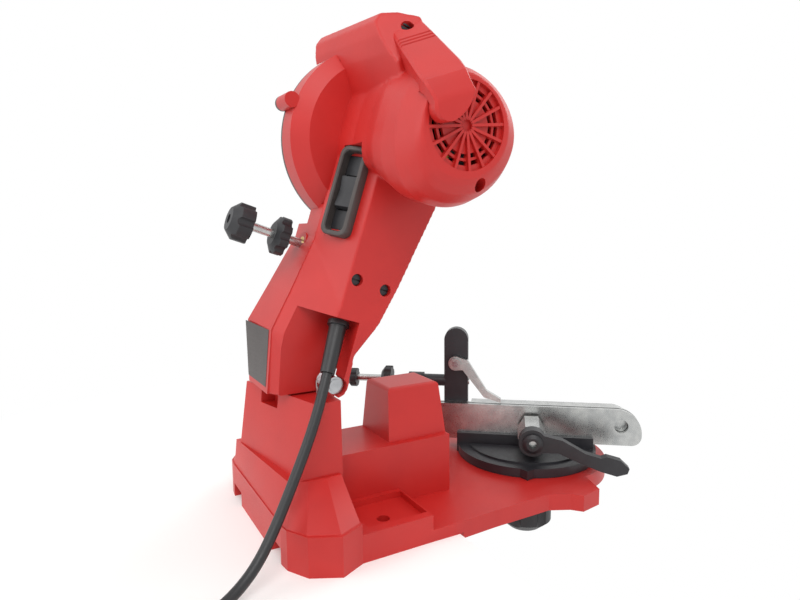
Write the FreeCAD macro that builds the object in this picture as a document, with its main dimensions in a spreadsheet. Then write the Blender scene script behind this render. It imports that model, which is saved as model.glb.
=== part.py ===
import FreeCAD, Part
import math
import os

import Sketcher

# Bench sharpener for saw chains. Millimetres.
# X runs along the grinding spindle, 0 in the wheel's middle plane, minus towards the vented motor end.
# Y is 0 on the hinge axis, minus towards the chain vice. Z is 0 on the bench top.

Vector = FreeCAD.Vector
Rotation = FreeCAD.Rotation
Placement = FreeCAD.Placement

os.makedirs("parts", exist_ok=True)
doc = FreeCAD.newDocument("ChainSharpener")
sheet = doc.addObject("Spreadsheet::Sheet", "Sizes")


class Dim:
    """A size that knows both its number and the expression that yields it."""

    def __init__(self, value, text):
        self.value = float(value)
        self.text = text

    def join(self, other, sign, result):
        """Combine two sizes into a new one."""
        text = other.text if isinstance(other, Dim) else repr(float(other))
        return Dim(result, "(%s %s %s)" % (self.text, sign, text))

    def __add__(self, other):
        return self.join(other, "+", self.value + number(other))

    def __sub__(self, other):
        return self.join(other, "-", self.value - number(other))

    def __mul__(self, other):
        return self.join(other, "*", self.value * number(other))

    def __truediv__(self, other):
        return self.join(other, "/", self.value / number(other))

    def __radd__(self, other):
        return Dim(float(other), repr(float(other))) + self

    def __rsub__(self, other):
        return Dim(float(other), repr(float(other))) - self

    def __rmul__(self, other):
        return Dim(float(other), repr(float(other))) * self

    def __neg__(self):
        return Dim(-self.value, "(-1 * %s)" % self.text)

    def __float__(self):
        return self.value


def number(value):
    """The plain number of a size or a number."""
    return value.value if isinstance(value, Dim) else float(value)


rows = []


def size(alias, value):
    """Enter one driving dimension in the spreadsheet."""
    rows.append(alias)
    cell = "B%d" % len(rows)
    sheet.set("A%d" % len(rows), alias)
    sheet.set(cell, repr(value))
    sheet.setAlias(cell, alias)
    return Dim(value, "Sizes.%s" % alias)


# ---- driving dimensions ---------------------------------------------------------------------

# grinding wheel, its guard and the motor
wheel_diameter = size("wheel_diameter", 108.0)
wheel_thickness = size("wheel_thickness", 3.2)
wheel_bore = size("wheel_bore", 23.0)
bore_clearance = size("bore_clearance", 0.05)
guard_gap = size("guard_gap", 4.5)
guard_wall = size("guard_wall", 3.5)
guard_depth = size("guard_depth", 24.0)
guard_opening = size("guard_opening", 24.0)
cover_thickness = size("cover_thickness", 2.5)
motor_radius = size("motor_radius", 45.0)
motor_neck_radius = size("motor_neck_radius", 33.5)
motor_end_radius = size("motor_end_radius", 29.0)
motor_length = size("motor_length", 114.0)
cone_length = size("cone_length", 24.0)
motor_cavity_radius = size("motor_cavity_radius", 29.0)
end_wall = size("end_wall", 4.0)
vent_ring = size("vent_ring", 27.0)
vent_count = size("vent_count", 16)
spindle_diameter = size("spindle_diameter", 8.0)

# head, arm and hinge
hinge_height = size("hinge_height", 101.0)
arm_reach = size("arm_reach", 162.7)
raised_lean = size("raised_lean", 18.2)
arm_far = size("arm_far", 30.0)
arm_near = size("arm_near", 45.0)
rear_step = size("rear_step", 17.0)
seam = size("seam", 12.0)
pin_diameter = size("pin_diameter", 8.0)
pin_clearance = size("pin_clearance", 0.05)
lug_width = size("lug_width", 26.0)
lug_radius = size("lug_radius", 11.0)
lug_clearance = size("lug_clearance", 0.8)
spring_wire = size("spring_wire", 1.4)
tongue_width = size("tongue_width", 27.0)
screw_hole = size("screw_hole", 7.6)

# switch, cord gland, depth stop
switch_length = size("switch_length", 58.0)
switch_width = size("switch_width", 21.0)
switch_depth = size("switch_depth", 15.0)
rocker_length = size("rocker_length", 22.0)
rocker_width = size("rocker_width", 12.0)
cord_diameter = size("cord_diameter", 6.5)
gland_diameter = size("gland_diameter", 14.0)
gland_length = size("gland_length", 34.0)
screw_diameter = size("screw_diameter", 6.0)
thread_clearance = size("thread_clearance", 0.05)
depth_screw_place = size("depth_screw_place", 10.0)
depth_screw_reach = size("depth_screw_reach", 81.6)
depth_knob_diameter = size("depth_knob_diameter", 25.0)
lock_nut_diameter = size("lock_nut_diameter", 26.0)

# base
base_half_width = size("base_half_width", 77.0)
foot_flare = size("foot_flare", 9.0)
rear_wall = size("rear_wall", 43.0)
deck_height = size("deck_height", 18.0)
deck_wall = size("deck_wall", 3.5)
nose_height = size("nose_height", 8.0)
lip_drop = size("lip_drop", 4.0)
lip_place = size("lip_place", 68.0)
nose_radius = size("nose_radius", 64.0)
beam_height = size("beam_height", 50.0)
tower_height = size("tower_height", 36.0)
column_gap = size("column_gap", 9.0)
bench_hole = size("bench_hole", 8.5)
bench_hole_spacing = size("bench_hole_spacing", 116.0)
bench_hole_place = size("bench_hole_place", 24.0)

# chain vice
swivel_place = size("swivel_place", 188.5)
swivel_turn = size("swivel_turn", 51.6)
disc_radius = size("disc_radius", 56.5)
disc_thickness = size("disc_thickness", 7.0)
disc_gap = size("disc_gap", 0.3)
swivel_bolt_diameter = size("swivel_bolt_diameter", 10.0)
lock_knob_diameter = size("lock_knob_diameter", 44.0)
rail_length = size("rail_length", 176.0)
rail_overhang = size("rail_overhang", 92.0)
rail_height = size("rail_height", 30.0)
rail_thickness = size("rail_thickness", 3.0)
rail_slot = size("rail_slot", 1.8)
rail_lift = size("rail_lift", 3.0)
rail_corner = size("rail_corner", 20.0)
rail_hole = size("rail_hole", 11.0)
backing_thickness = size("backing_thickness", 9.0)
bracket_width = size("bracket_width", 20.0)
bracket_height = size("bracket_height", 96.0)
bracket_place = size("bracket_place", 59.0)
pawl_pin_height = size("pawl_pin_height", 82.0)
pawl_length = size("pawl_length", 50.0)
stop_screw_height = size("stop_screw_height", 65.0)
stop_screw_length = size("stop_screw_length", 104.0)
stop_knob_diameter = size("stop_knob_diameter", 16.0)
stop_nut_diameter = size("stop_nut_diameter", 22.0)
clamp_height = size("clamp_height", 32.0)
clamp_place = size("clamp_place", 4.0)
post_length = size("post_length", 28.0)
lever_length = size("lever_length", 64.0)
clamp_diameter = size("clamp_diameter", 6.0)

doc.recompute()


# ---- helpers --------------------------------------------------------------------------------

AXIS_TURN = {
    "X": Rotation(Vector(0, 1, 0), 90),
    "Y": Rotation(Vector(1, 0, 0), -90),
    "Z": Rotation(),
}
BENCH = Placement()
ARM = Placement(Vector(0, 0, number(hinge_height)), Rotation(Vector(1, 0, 0), number(raised_lean)))
VICE = Placement(Vector(0, -number(swivel_place), 0), Rotation(Vector(0, 0, 1), number(swivel_turn)))
stand = {"frame": BENCH}
outputs = []


def bind(item, prop, value):
    """Give a property its size, as an expression where it comes from the spreadsheet."""
    if isinstance(value, Dim):
        item.setExpression(prop, value.text)
    else:
        setattr(item, prop, value)


def place(item, at, turn=Rotation()):
    """Stand an item at a point made of sizes, in the frame that is being built in."""
    local = Placement(Vector(*[number(value) for value in at]), turn)
    item.Placement = stand["frame"].multiply(local)
    if stand["frame"].isIdentity():
        for name, value in zip("xyz", at):
            if isinstance(value, Dim):
                item.setExpression("Placement.Base.%s" % name, value.text)
    return item


def box(name, low, high):
    """A block between two corners."""
    item = doc.addObject("Part::Box", name)
    for prop, start, end in zip(("Length", "Width", "Height"), low, high):
        bind(item, prop, end - start if isinstance(end, Dim) or isinstance(start, Dim) else float(end - start))
    return place(item, low)


def rod(name, radius, length, at, axis="Z"):
    """A cylinder that starts at a point and runs along an axis."""
    item = doc.addObject("Part::Cylinder", name)
    bind(item, "Radius", radius)
    bind(item, "Height", length)
    return place(item, at, AXIS_TURN[axis] if isinstance(axis, str) else axis)


def fuse(name, parts):
    """One solid out of several."""
    item = doc.addObject("Part::MultiFuse", name)
    item.Shapes = parts
    item.Refine = True
    return item


def cut(name, base, tools):
    """A solid less its holes and recesses."""
    item = doc.addObject("Part::Cut", name)
    item.Base = base
    item.Tool = tools[0] if len(tools) == 1 else fuse(name + "_tools", tools)
    item.Refine = True
    return item


def made(name, shape):
    """A shape worked out by Part's own functions, as an object of the document."""
    item = doc.addObject("Part::Feature", name)
    item.Shape = shape
    return item


def origin_plane(body, role):
    """One of a body's own origin planes."""
    return [part for part in body.Origin.OriginFeatures if part.Role == role][0]


def outline(body, role, points):
    """A closed sketch through points whose coordinates are tied to the sizes."""
    sketch = body.newObject("Sketcher::SketchObject", body.Name + "_outline")
    sketch.AttachmentSupport = [(origin_plane(body, role), "")]
    sketch.MapMode = "FlatFace"
    corners = [Vector(number(x), number(y), 0) for x, y in points]
    count = len(corners)
    for index in range(count):
        sketch.addGeometry(Part.LineSegment(corners[index], corners[(index + 1) % count]), False)
    for index in range(count):
        sketch.addConstraint(Sketcher.Constraint("Coincident", index, 2, (index + 1) % count, 1))
    for index, (x, y) in enumerate(points):
        for kind, axis, value in (("DistanceX", -2, x), ("DistanceY", -1, y)):
            if number(value) == 0:
                sketch.addConstraint(Sketcher.Constraint("PointOnObject", index, 1, axis))
                continue
            made_at = sketch.addConstraint(Sketcher.Constraint(kind, -1, 1, index, 1, number(value)))
            if isinstance(value, Dim):
                sketch.setExpression("Constraints[%d]" % made_at, value.text)
    return sketch


def turned(name, points, at=(0, 0, 0), axis="Z"):
    """A body of revolution: (radius, height) points turned about the body's own Z axis."""
    body = doc.addObject("PartDesign::Body", name)
    sketch = outline(body, "XZ_Plane", points)
    turn = body.newObject("PartDesign::Revolution", name + "_turn")
    turn.Profile = sketch
    turn.ReferenceAxis = (sketch, ["V_Axis"])
    turn.Angle = 360
    body.Tip = turn
    return place(body, at, AXIS_TURN[axis] if isinstance(axis, str) else axis)


def padded(name, points, length, at=(0, 0, 0), turn=Rotation(), middle=False):
    """A body padded from an outline in its own XY plane."""
    body = doc.addObject("PartDesign::Body", name)
    sketch = outline(body, "XY_Plane", points)
    pad = body.newObject("PartDesign::Pad", name + "_pad")
    pad.Profile = sketch
    bind(pad, "Length", length)
    pad.Midplane = middle
    body.Tip = pad
    return place(body, at, turn)


def round_edges(body, radius, chosen):
    """Fillet those edges of a body's tip that a test picks."""
    doc.recompute()
    tip = body.Tip
    names = ["Edge%d" % (index + 1) for index, edge in enumerate(tip.Shape.Edges) if chosen(edge)]
    fillet = body.newObject("PartDesign::Fillet", body.Name + "_round")
    fillet.Base = (tip, names)
    bind(fillet, "Radius", radius)
    body.Tip = fillet
    return body


def output(item, label):
    """Name the item as one physical piece of the sharpener."""
    item.Label = label
    outputs.append((label, item))
    return item


def stood(shape):
    """A shape drawn in the current frame, moved to the machine's frame."""
    moved = shape.copy()
    moved.Placement = stand["frame"].multiply(moved.Placement)
    return moved


def polygon(points):
    """A closed wire through points."""
    return Part.makePolygon(list(points) + [points[0]])


def smooth(points):
    """A closed, rounded wire through points."""
    curve = Part.BSplineCurve()
    curve.interpolate(Points=points, PeriodicFlag=True)
    return Part.Wire([curve.toShape()])


def ruled(low, high):
    """A solid with straight sides between two closed outlines of as many corners."""
    return Part.makeLoft([polygon(low), polygon(high)], True, True)


def lobed(name, diameter, height, lobes, bore, at, turn):
    """A star knob: a turned disc with scooped grips, domed on its outer face."""
    radius = diameter / 2
    dome = height * 0.35
    points = [(bore, 0), (radius, 0), (radius, height - dome), (radius * 0.62, height), (bore, height)]
    body = turned(name, points, at, turn)
    sketch = body.newObject("Sketcher::SketchObject", name + "_scoop_outline")
    sketch.AttachmentSupport = [(origin_plane(body, "XY_Plane"), "")]
    sketch.MapMode = "FlatFace"
    scoop = number(radius) * 0.26
    sketch.addGeometry(Part.Circle(Vector(number(radius) * 1.12, 0, 0), Vector(0, 0, 1), scoop), False)
    sketch.addConstraint(Sketcher.Constraint("PointOnObject", 0, 3, -1))
    middle = sketch.addConstraint(Sketcher.Constraint("DistanceX", -1, 1, 0, 3, number(radius) * 1.12))
    sketch.setExpression("Constraints[%d]" % middle, (radius * 1.12).text)
    round_place = sketch.addConstraint(Sketcher.Constraint("Radius", 0, scoop))
    sketch.setExpression("Constraints[%d]" % round_place, (radius * 0.26).text)
    pocket = body.newObject("PartDesign::Pocket", name + "_scoop")
    pocket.Profile = sketch
    pocket.Type = "ThroughAll"
    pocket.Reversed = True
    doc.recompute()
    pattern = body.newObject("PartDesign::PolarPattern", name + "_scoops")
    pattern.Originals = [pocket]
    pattern.Axis = (sketch, ["N_Axis"])
    pattern.Angle = 360
    pattern.Occurrences = lobes
    body.Tip = pattern
    return body


# ---- base -----------------------------------------------------------------------------------


def base_outline(z):
    """The corners of the rear half of the base, in plan, at a height."""
    half = number(base_half_width)
    rear = number(rear_wall)
    flare = number(foot_flare)
    near = [(half - 22, rear), (half - 14, rear - 1), (half, rear - 9), (half + flare, rear - 27), (half + 1, 0)]
    ring = [(x, y) for x, y in near] + [(-x, y) for x, y in reversed(near)]
    return [Vector(x, y, z) for x, y in ring]


def column_outline(z, half, near_rear, far_rear, far_edge):
    """The corners of the column at a height; its rear face turns towards the near side."""
    return [
        Vector(far_edge, far_rear, z),
        Vector(far_edge, far_rear * 0.45, z),
        Vector(far_edge, -2, z),
        Vector(-half, -2, z),
        Vector(-half, near_rear, z),
    ]


def base_housing():
    """The moulded base: feet, deck, column with its hinge lug, beam, stop tower and round nose."""
    half = number(base_half_width)
    deck = number(deck_height)
    nose = number(nose_height)
    top = number(hinge_height) - number(column_gap)
    drop = number(lip_drop)
    lip = number(lip_place)
    vice = number(swivel_place)
    step = 50.0
    foot_top = deck + 7.0
    rear_low = base_outline(0)
    feet = ruled(rear_low, base_outline(foot_top))
    skirt = [(half + 1, 0), (half, -step), (-half, -step), (-half - 1, 0)]
    rear_deck = Part.Face(polygon([Vector(x, y, 0) for x, y in skirt])).extrude(Vector(0, 0, deck))
    ear = [(half - 3, vice - 40), (half + 4, vice - 26), (half + 11, vice - 20), (half + 8, vice - 2)]
    plan = [(half, step), (half, lip), (half - 2, lip + 32)] + ear + [(number(nose_radius) * 0.97, vice + 6)]
    ring = [(x, -y) for x, y in plan] + [(-x, -y) for x, y in reversed(plan)]
    front_deck = Part.Face(polygon([Vector(x, y, 0) for x, y in ring])).extrude(Vector(0, 0, nose))
    low_ring = [(x, y) for x, y in ring if y < -lip - 1]
    corner = half - 0.4
    low_ring = [(corner, -lip - 6)] + low_ring + [(-corner, -lip - 6)]
    low_deck = Part.Face(polygon([Vector(x, y, -drop) for x, y in low_ring])).extrude(Vector(0, 0, drop + 1))
    round_nose = Part.makeCylinder(number(nose_radius), nose + drop, Vector(0, -vice, -drop))
    knob_boss = Part.makeCylinder(14, nose + 18, Vector(0, -vice, -18))
    flare_low = [Vector(p.x * 0.97, p.y * 0.97 + 0.5, foot_top) for p in base_outline(0)]
    waist = foot_top + 20.0
    flare_high = [
        Vector(50, 41, waist), Vector(50, 38, waist), Vector(50, 30, waist), Vector(49, 14, waist),
        Vector(48, 0, waist), Vector(-48, 0, waist), Vector(-48, 10, waist), Vector(-47, 22, waist),
        Vector(-45, 30, waist), Vector(-43, 33, waist),
    ]
    flare = ruled(flare_low, flare_high)
    column_low = column_outline(deck - 1, 46.0, 33.0, 42.0, 48.0)
    column_high = column_outline(top, number(arm_near), 15.0, 36.0, number(arm_far) + 3)
    column = ruled(column_low, column_high)
    beam = Part.makeBox(49, 90, number(beam_height) - 1, Vector(-31, -92, 1))
    tower_top = number(beam_height) + number(tower_height)
    tower = ruled(
        [Vector(-25, -46, 49), Vector(18, -46, 49), Vector(18, -92.5, 49), Vector(-25, -92.5, 49)],
        [Vector(-17, -50, tower_top), Vector(17, -50, tower_top),
         Vector(17, -91, tower_top), Vector(-17, -91, tower_top)],
    )
    tower = tower.makeFillet(3.0, [edge for edge in tower.Edges if edge.BoundBox.ZMin > 52])
    lug_half = number(lug_width) / 2
    pin_height = number(hinge_height)
    turn_x = Vector(1, 0, 0)
    lug = Part.makeCylinder(number(lug_radius), 2 * lug_half, Vector(-lug_half, 0, pin_height), turn_x)
    lug_foot = Part.makeBox(2 * lug_half, 2 * number(lug_radius), pin_height - top + 8,
                            Vector(-lug_half, -number(lug_radius), top - 8))
    solid = feet.multiFuse([rear_deck, front_deck, low_deck, round_nose, flare, column, beam, tower, lug, lug_foot,
                            knob_boss])
    solid = solid.removeSplitter()
    wall = number(deck_wall)
    hollow_rear = Part.makeBox(2 * half - 2 * wall, step + 30 - wall, deck - wall - 3,
                               Vector(-half + wall, -step + wall, -1))
    keep = [Part.makeCylinder(9, deck, Vector(x, -number(bench_hole_place), 0))
            for x in (-number(bench_hole_spacing) / 2, number(bench_hole_spacing) / 2)]
    for x in (-40, 0, 40):
        keep.append(Part.makeBox(wall, step + 38, deck, Vector(x - wall / 2, -step, 0)))
    hollow_rear = hollow_rear.cut(keep[0].multiFuse(keep[1:]))
    hollow_column = ruled(
        [Vector(42, 36, -1), Vector(42, 17, -1), Vector(42, 16, -1), Vector(-42, 16, -1),
         Vector(-42, 27, -1)],
        [Vector(26, 30, top - 12), Vector(26, 14, top - 12), Vector(26, 3, top - 12), Vector(-40, 3, top - 12),
         Vector(-40, 9, top - 12)],
    )
    hollow_front = Part.makeBox(2 * half - 24, vice - 64 - lip - 12, nose - wall + drop + 1,
                                Vector(-half + 12, -vice + 64, -drop - 1))
    nose_hollow = Part.makeCylinder(number(nose_radius) - wall - 8, nose + drop - 6, Vector(0, -vice, -drop - 0.5))
    nose_hollow = nose_hollow.cut(Part.makeCylinder(27, 20, Vector(0, -vice, -drop - 1)))
    notches = [Part.makeBox(19, 20, 11, Vector(x, number(rear_wall) - 12, -1)) for x in (-54, 35)]
    window = Part.makeBox(20, 14, 12, Vector(-6, 22, top - 11))
    tray = Part.makeBox(36, 42, 4, Vector(-half + 6, -step + 1, deck - 4))
    tray_far = Part.makeBox(36, 42, 4, Vector(half - 42, -step + 1, deck - 4))
    holes = [Part.makeCylinder(number(bench_hole) / 2, deck + 4, Vector(x, -number(bench_hole_place), -2))
             for x in (-number(bench_hole_spacing) / 2, number(bench_hole_spacing) / 2)]
    bolt_radius = number(swivel_bolt_diameter) / 2 + number(pin_clearance)
    holes.append(Part.makeCylinder(bolt_radius, nose + 20, Vector(0, -vice, -19)))
    pin_radius = number(pin_diameter) / 2
    holes.append(Part.makeCylinder(pin_radius + number(pin_clearance), 2 * lug_half + 2,
                                   Vector(-lug_half - 1, 0, pin_height), turn_x))
    tools = [hollow_rear, hollow_column, hollow_front, nose_hollow, window, tray, tray_far] + notches + holes
    return output(made("BaseHousing", solid.cut(tools).removeSplitter()), "base_housing")


def hinge():
    """The hinge pin, its two retaining rings and the return spring wound round it."""
    start = -arm_near + 3.0
    length = arm_near + arm_far - 6.0
    pin = rod("HingePin", pin_diameter / 2, length, (start, 0, hinge_height), "X")
    output(pin, "hinge_pin")
    rings = []
    for index, x in enumerate((start + 0.8, start + length - 2.0)):
        ring = rod("RetainerOuter%d" % index, pin_diameter / 2 + 1.5, 1.2, (x, 0, hinge_height), "X")
        bore = rod("RetainerBore%d" % index, pin_diameter / 2, 1.2, (x, 0, hinge_height), "X")
        rings.append(cut("Retainer%d" % index, ring, [bore]))
    pair = doc.addObject("Part::Compound", "HingeRetainers")
    pair.Links = rings
    output(pair, "hinge_retainers")
    wire = number(spring_wire)
    mean = number(pin_diameter) / 2 + wire / 2 + 0.4
    turns = []
    coils = 6
    for index in range(coils):
        x = number(start) + 13.0 + index * wire * 0.9
        turns.append(Part.makeTorus(mean, wire / 2, Vector(x, 0, number(hinge_height)), Vector(1, 0, 0)))
    last = number(start) + 13.0 + (coils - 1) * wire * 0.9
    level = number(hinge_height)
    drop = number(column_gap) - 0.3
    leg = Part.makeCylinder(wire / 2, drop, Vector(last, mean, level - drop))
    arm_leg = Part.makeCylinder(wire / 2, 12, Vector(number(start) + 13.0, mean, level))
    spring = turns[0].multiFuse(turns[1:] + [leg, arm_leg]).removeSplitter()
    output(made("ReturnSpring", spring), "return_spring")


# ---- head -----------------------------------------------------------------------------------

# In the arm's frame Z runs from the hinge to the wheel's centre and Y points to the rear.
LEAN = math.radians(number(raised_lean))
HEAD_Z = number(arm_reach)
FLOOR = number(column_gap) - 1.4
REAR = 26.5
STOP_TURN = math.radians(20) - LEAN
DEPTH_BOSS = 31.0
GRIP_POINTS = [
    (22, 190), (35, 197), (44, 205), (50, 214), (48.5, 222.5),
    (39, 227.5), (22, 227.5), (7, 220), (0.5, 206), (8, 194),
]
GRIP_NEAR = -62.0
REAR_ANGLE = math.degrees(math.atan2(number(rear_step), number(arm_near) - number(seam)))
SWITCH_X = -28.0
SWITCH_Y = REAR + 1.5 + (SWITCH_X + number(seam)) * math.tan(math.radians(REAR_ANGLE))
SWITCH = Placement(Vector(SWITCH_X, SWITCH_Y, HEAD_Z - 43.2), Rotation(Vector(0, 0, 1), REAR_ANGLE))
ROCKER_PIVOT = -1.0
BEARING_RADIUS = 11.0
GLAND_TOP = (-33.3, 5.5, 39.0)
GLAND_WAY = Vector(-0.32, 0.1, -0.94)


def arm_side(x, rear, bottom):
    """The arm's outline in the plane at x: its rear corners, then the bottom and the front."""
    points = [(y, z) for z, y in rear]
    points.append((bottom, (-FLOOR - bottom * math.sin(LEAN)) / math.cos(LEAN)))
    points.append((-FLOOR * math.sin(LEAN), -FLOOR * math.cos(LEAN)))
    points.append((-FLOOR * 0.8, -FLOOR * 0.6))
    points.append((-FLOOR, 0))
    points += [(-6, 21), (-17, 44), (-23, 68), (-34.5, 126), (-36, 175), (-31, 200), (-22, 212)]
    return [Vector(x, y, z) for y, z in points]


def arm_form():
    """The solid arm from the hinge up to the motor, its rear face stepping back to the near side."""
    middle_rear = REAR + 1.5
    near_rear = middle_rear - number(rear_step)
    far = [(190, REAR), (88, REAR), (49, REAR + 10), (23, REAR + 17)]
    middle = [(190, middle_rear), (88, middle_rear), (49, middle_rear + 7), (23, middle_rear + 12)]
    near = [(190, near_rear), (88, near_rear), (49, near_rear), (23, near_rear + 6)]
    parting = arm_side(-number(seam), middle, 31)
    far_half = ruled(arm_side(number(arm_far), far, 31), parting)
    return far_half.fuse(ruled(parting, arm_side(-number(arm_near), near, 14.5)))


def arm_recesses():
    """What the arm leaves free: hinge lug, pin, cord recess, stop tower, depth screw."""
    lug = number(lug_clearance)
    half = number(lug_width) / 2 + lug
    ring = number(lug_radius) + lug
    along = Vector(1, 0, 0)
    near = -number(arm_near)
    slot = Part.makeCylinder(ring, 2 * half, Vector(-half, 0, 0), along)
    feet = []
    for swing in (0, 35, 70):
        foot = Part.makeBox(2 * half, 2 * ring, 24, Vector(-half, -ring, -24))
        foot.rotate(Vector(0, 0, 0), along, -number(raised_lean) - swing)
        feet.append(foot)
    spring = Part.makeCylinder(ring - 1, 11, Vector(-number(arm_near) + 14, 0, 0), along)
    pin = Part.makeCylinder(number(pin_diameter) / 2 + number(pin_clearance), 90, Vector(-50, 0, 0), along)
    seat = number(pin_diameter) / 2 + 2.4
    ring_seat = Part.makeCylinder(seat, 20, Vector(number(arm_far) - 6.2, 0, 0), along)
    near_seat = Part.makeCylinder(seat, 26, Vector(near - 1, 0, 0), along)
    cord = Part.makeBox(26, 70, 70, Vector(near - 1, -3, -28))
    pocket = Part.makeBox(49, 40, 56, Vector(-29, -54, 39))
    screw = Part.makeCylinder(number(screw_diameter) / 2 + number(thread_clearance), 120,
                              depth_axis(-40), depth_direction())
    insert = Part.makeCylinder(5, 12, depth_axis(DEPTH_BOSS - 12), depth_direction())
    return [slot, spring, pin, ring_seat, near_seat, cord, pocket, screw, insert] + feet


def depth_direction():
    """The way that the depth screw points outwards, in the arm's frame."""
    return Vector(0, math.cos(STOP_TURN), math.sin(STOP_TURN))


def depth_axis(out):
    """A point on the depth screw's axis, so far outwards from its nearest point to the hinge."""
    reach = number(depth_screw_reach)
    foot = Vector(number(depth_screw_place), -reach * math.sin(STOP_TURN), reach * math.cos(STOP_TURN))
    return foot + depth_direction() * out


def motor_form():
    """The motor housing: neck, drum and rounded end, turned about the spindle."""
    end = -number(motor_length)
    drum = number(motor_radius)
    neck = number(motor_neck_radius)
    shoulder = end + number(cone_length)
    last = number(motor_end_radius)
    start = -number(seam)
    profile = [(end, last), (end + 2.5, last + 4), (end + 9, drum - 5.5), (end + 16, drum - 1.8), (shoulder, drum),
               (shoulder + 19, drum - 2), (-50, neck + 4), (-30, neck), (start, neck - 1.5)]
    curve = Part.BSplineCurve()
    curve.interpolate(Points=[Vector(x, 0, HEAD_Z + r) for x, r in profile])
    axis_start = Vector(end, 0, HEAD_Z)
    axis_end = Vector(start, 0, HEAD_Z)
    sides = [curve.toShape(), Part.makeLine(Vector(start, 0, HEAD_Z + neck - 1.5), axis_end),
             Part.makeLine(axis_end, axis_start), Part.makeLine(axis_start, Vector(end, 0, HEAD_Z + last))]
    return Part.Face(Part.Wire(sides)).revolve(Vector(0, 0, HEAD_Z), Vector(1, 0, 0), 360)


def vents():
    """The round grille at the motor's end: a sunk face between radial ribs, with two rings of slots."""
    end = -number(motor_length)
    outer = number(vent_ring)
    count = int(number(vent_count))
    along = Vector(1, 0, 0)
    sink = Part.makeCylinder(outer, 2.0, Vector(end - 0.01, 0, HEAD_Z), along)
    ribs = []
    slots = []
    for index in range(count):
        rib = Part.makeBox(4, 1.6, outer, Vector(end - 1, -0.8, HEAD_Z + 4))
        rib.rotate(Vector(0, 0, HEAD_Z), along, index * 360.0 / count)
        ribs.append(rib)
        for middle, wide in ((outer * 0.68, 4.6), (outer * 0.84, 6.0)):
            slot = Part.makeBox(number(end_wall) + 4, wide, 2.4, Vector(end - 1, -wide / 2, HEAD_Z + middle - 1.2))
            slot.rotate(Vector(0, 0, HEAD_Z), along, (index + 0.5) * 360.0 / count)
            slots.append(slot)
    return [sink.cut(ribs)] + slots


def handle_section(x, forward, down):
    """The grip's cross-section, moved forward and down."""
    lift = HEAD_Z - 162.7
    return [Vector(x, y - forward, z + lift - down) for y, z in GRIP_POINTS]


def handle_form():
    """The grip bar over the wheel, thick and rounded, leaning forward towards its near end."""
    far_end = smooth(handle_section(25.5, 0, 0))
    near_end = smooth(handle_section(GRIP_NEAR, 9.5, 1.5))
    grip = Part.makeLoft([far_end, near_end], True, True)
    ends = [edge for edge in grip.Edges if edge.BoundBox.XLength < 0.01]
    return grip.makeFillet(2.5, ends)


def tongue_form():
    """The strap that runs from the grip's near end down to the middle of the vents, with three grooves."""
    half = number(tongue_width) / 2
    end = -number(motor_length)
    side = [(-46, 61), (-63, 61), (-67, 58.5), (end + 1, 15),
            (end - 4, 6), (end - 4, -20), (end + 24, -20), (-46, 30)]
    sheet_form = Part.Face(polygon([Vector(x, -20, HEAD_Z + z) for x, z in side])).extrude(Vector(0, 80, 0))
    top = Vector(-150, 27.5, HEAD_Z + 64)
    low = Vector(-150, 17.0, HEAD_Z + 9)
    along = (low - top).normalize()
    across = Vector(0, -along.z, along.y)
    corners = [top + across * half, low + across * half, low - across * half, top - across * half]
    strip = [Part.makeLine(corners[0], corners[1]), Part.Arc(corners[1], low + along * half, corners[2]).toShape(),
             Part.makeLine(corners[2], corners[3]), Part.makeLine(corners[3], corners[0])]
    strap = Part.Face(Part.Wire(strip)).extrude(Vector(150, 0, 0)).common(sheet_form)
    slope = Vector(end + 68, 0, 15 - 58.5).normalize()
    grooves = []
    for index in range(3):
        middle = Vector(-67, 0, HEAD_Z + 58.5) + slope * (9 + index * 5)
        groove = Part.makeCylinder(1.1, 80, middle + Vector(0, -20, 0), Vector(0, 1, 0))
        grooves.append(groove)
    return strap.cut(grooves)


def guard_bosses():
    """The middles of the two bosses round the guard that take the cover's screws."""
    spots = []
    for degrees in (4, 104):
        reach = number(wheel_diameter) / 2 + number(guard_gap) + number(guard_wall) + 3
        turn = math.radians(degrees)
        spots.append((reach * math.cos(turn), HEAD_Z + reach * math.sin(turn)))
    return spots


def guard_opening_block(start, length):
    """The space in front of the guard's opening edge."""
    front = number(guard_opening)
    return Part.makeBox(length, 120, 160, Vector(start, -front - 120, HEAD_Z - 80))


def guard_form():
    """The wheel guard: bevelled back plate and rim, open at the front, with screw bosses."""
    back = -number(seam)
    inner = number(wheel_diameter) / 2 + number(guard_gap)
    wall = number(guard_wall)
    outer = inner + wall
    depth = number(guard_depth)
    bevel = 10.0
    deep = 8.0
    along = Vector(1, 0, 0)

    def bowl(start, radius, end):
        profile = [(start, 0), (start, radius - bevel), (start + deep, radius), (end, radius), (end, 0)]
        wire = polygon([Vector(x, 0, HEAD_Z + r) for x, r in profile])
        return Part.Face(wire).revolve(Vector(0, 0, HEAD_Z), along, 360)

    drum = bowl(back, outer, back + depth)
    for y, z in guard_bosses():
        drum = drum.fuse(Part.makeCylinder(5, depth - 7, Vector(back + 7, y, z), along))
    room = bowl(back + wall, inner, back + depth + 1)
    return drum.cut([room, guard_opening_block(back - 1, depth + 2)])


def screw_spots():
    """Where the two halves are screwed together: (y, z) and the depth of each head."""
    return [(6.4, 67.4, -number(arm_near)), (-14.5, 66.0, -number(arm_near)),
            (26.2, HEAD_Z + 56, GRIP_NEAR), (-22.5, HEAD_Z - 25.5, -98.0)]


def screw_tools():
    """The recesses and bores of the housing screws."""
    tools = []
    wide = number(screw_hole) / 2
    along = Vector(1, 0, 0)
    for y, z, start in screw_spots():
        tools.append(Part.makeCylinder(wide, 30, Vector(start - 24, y, z), along))
        tools.append(Part.makeCylinder(2 + number(thread_clearance), 96, Vector(start, y, z), along))
    return tools


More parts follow.
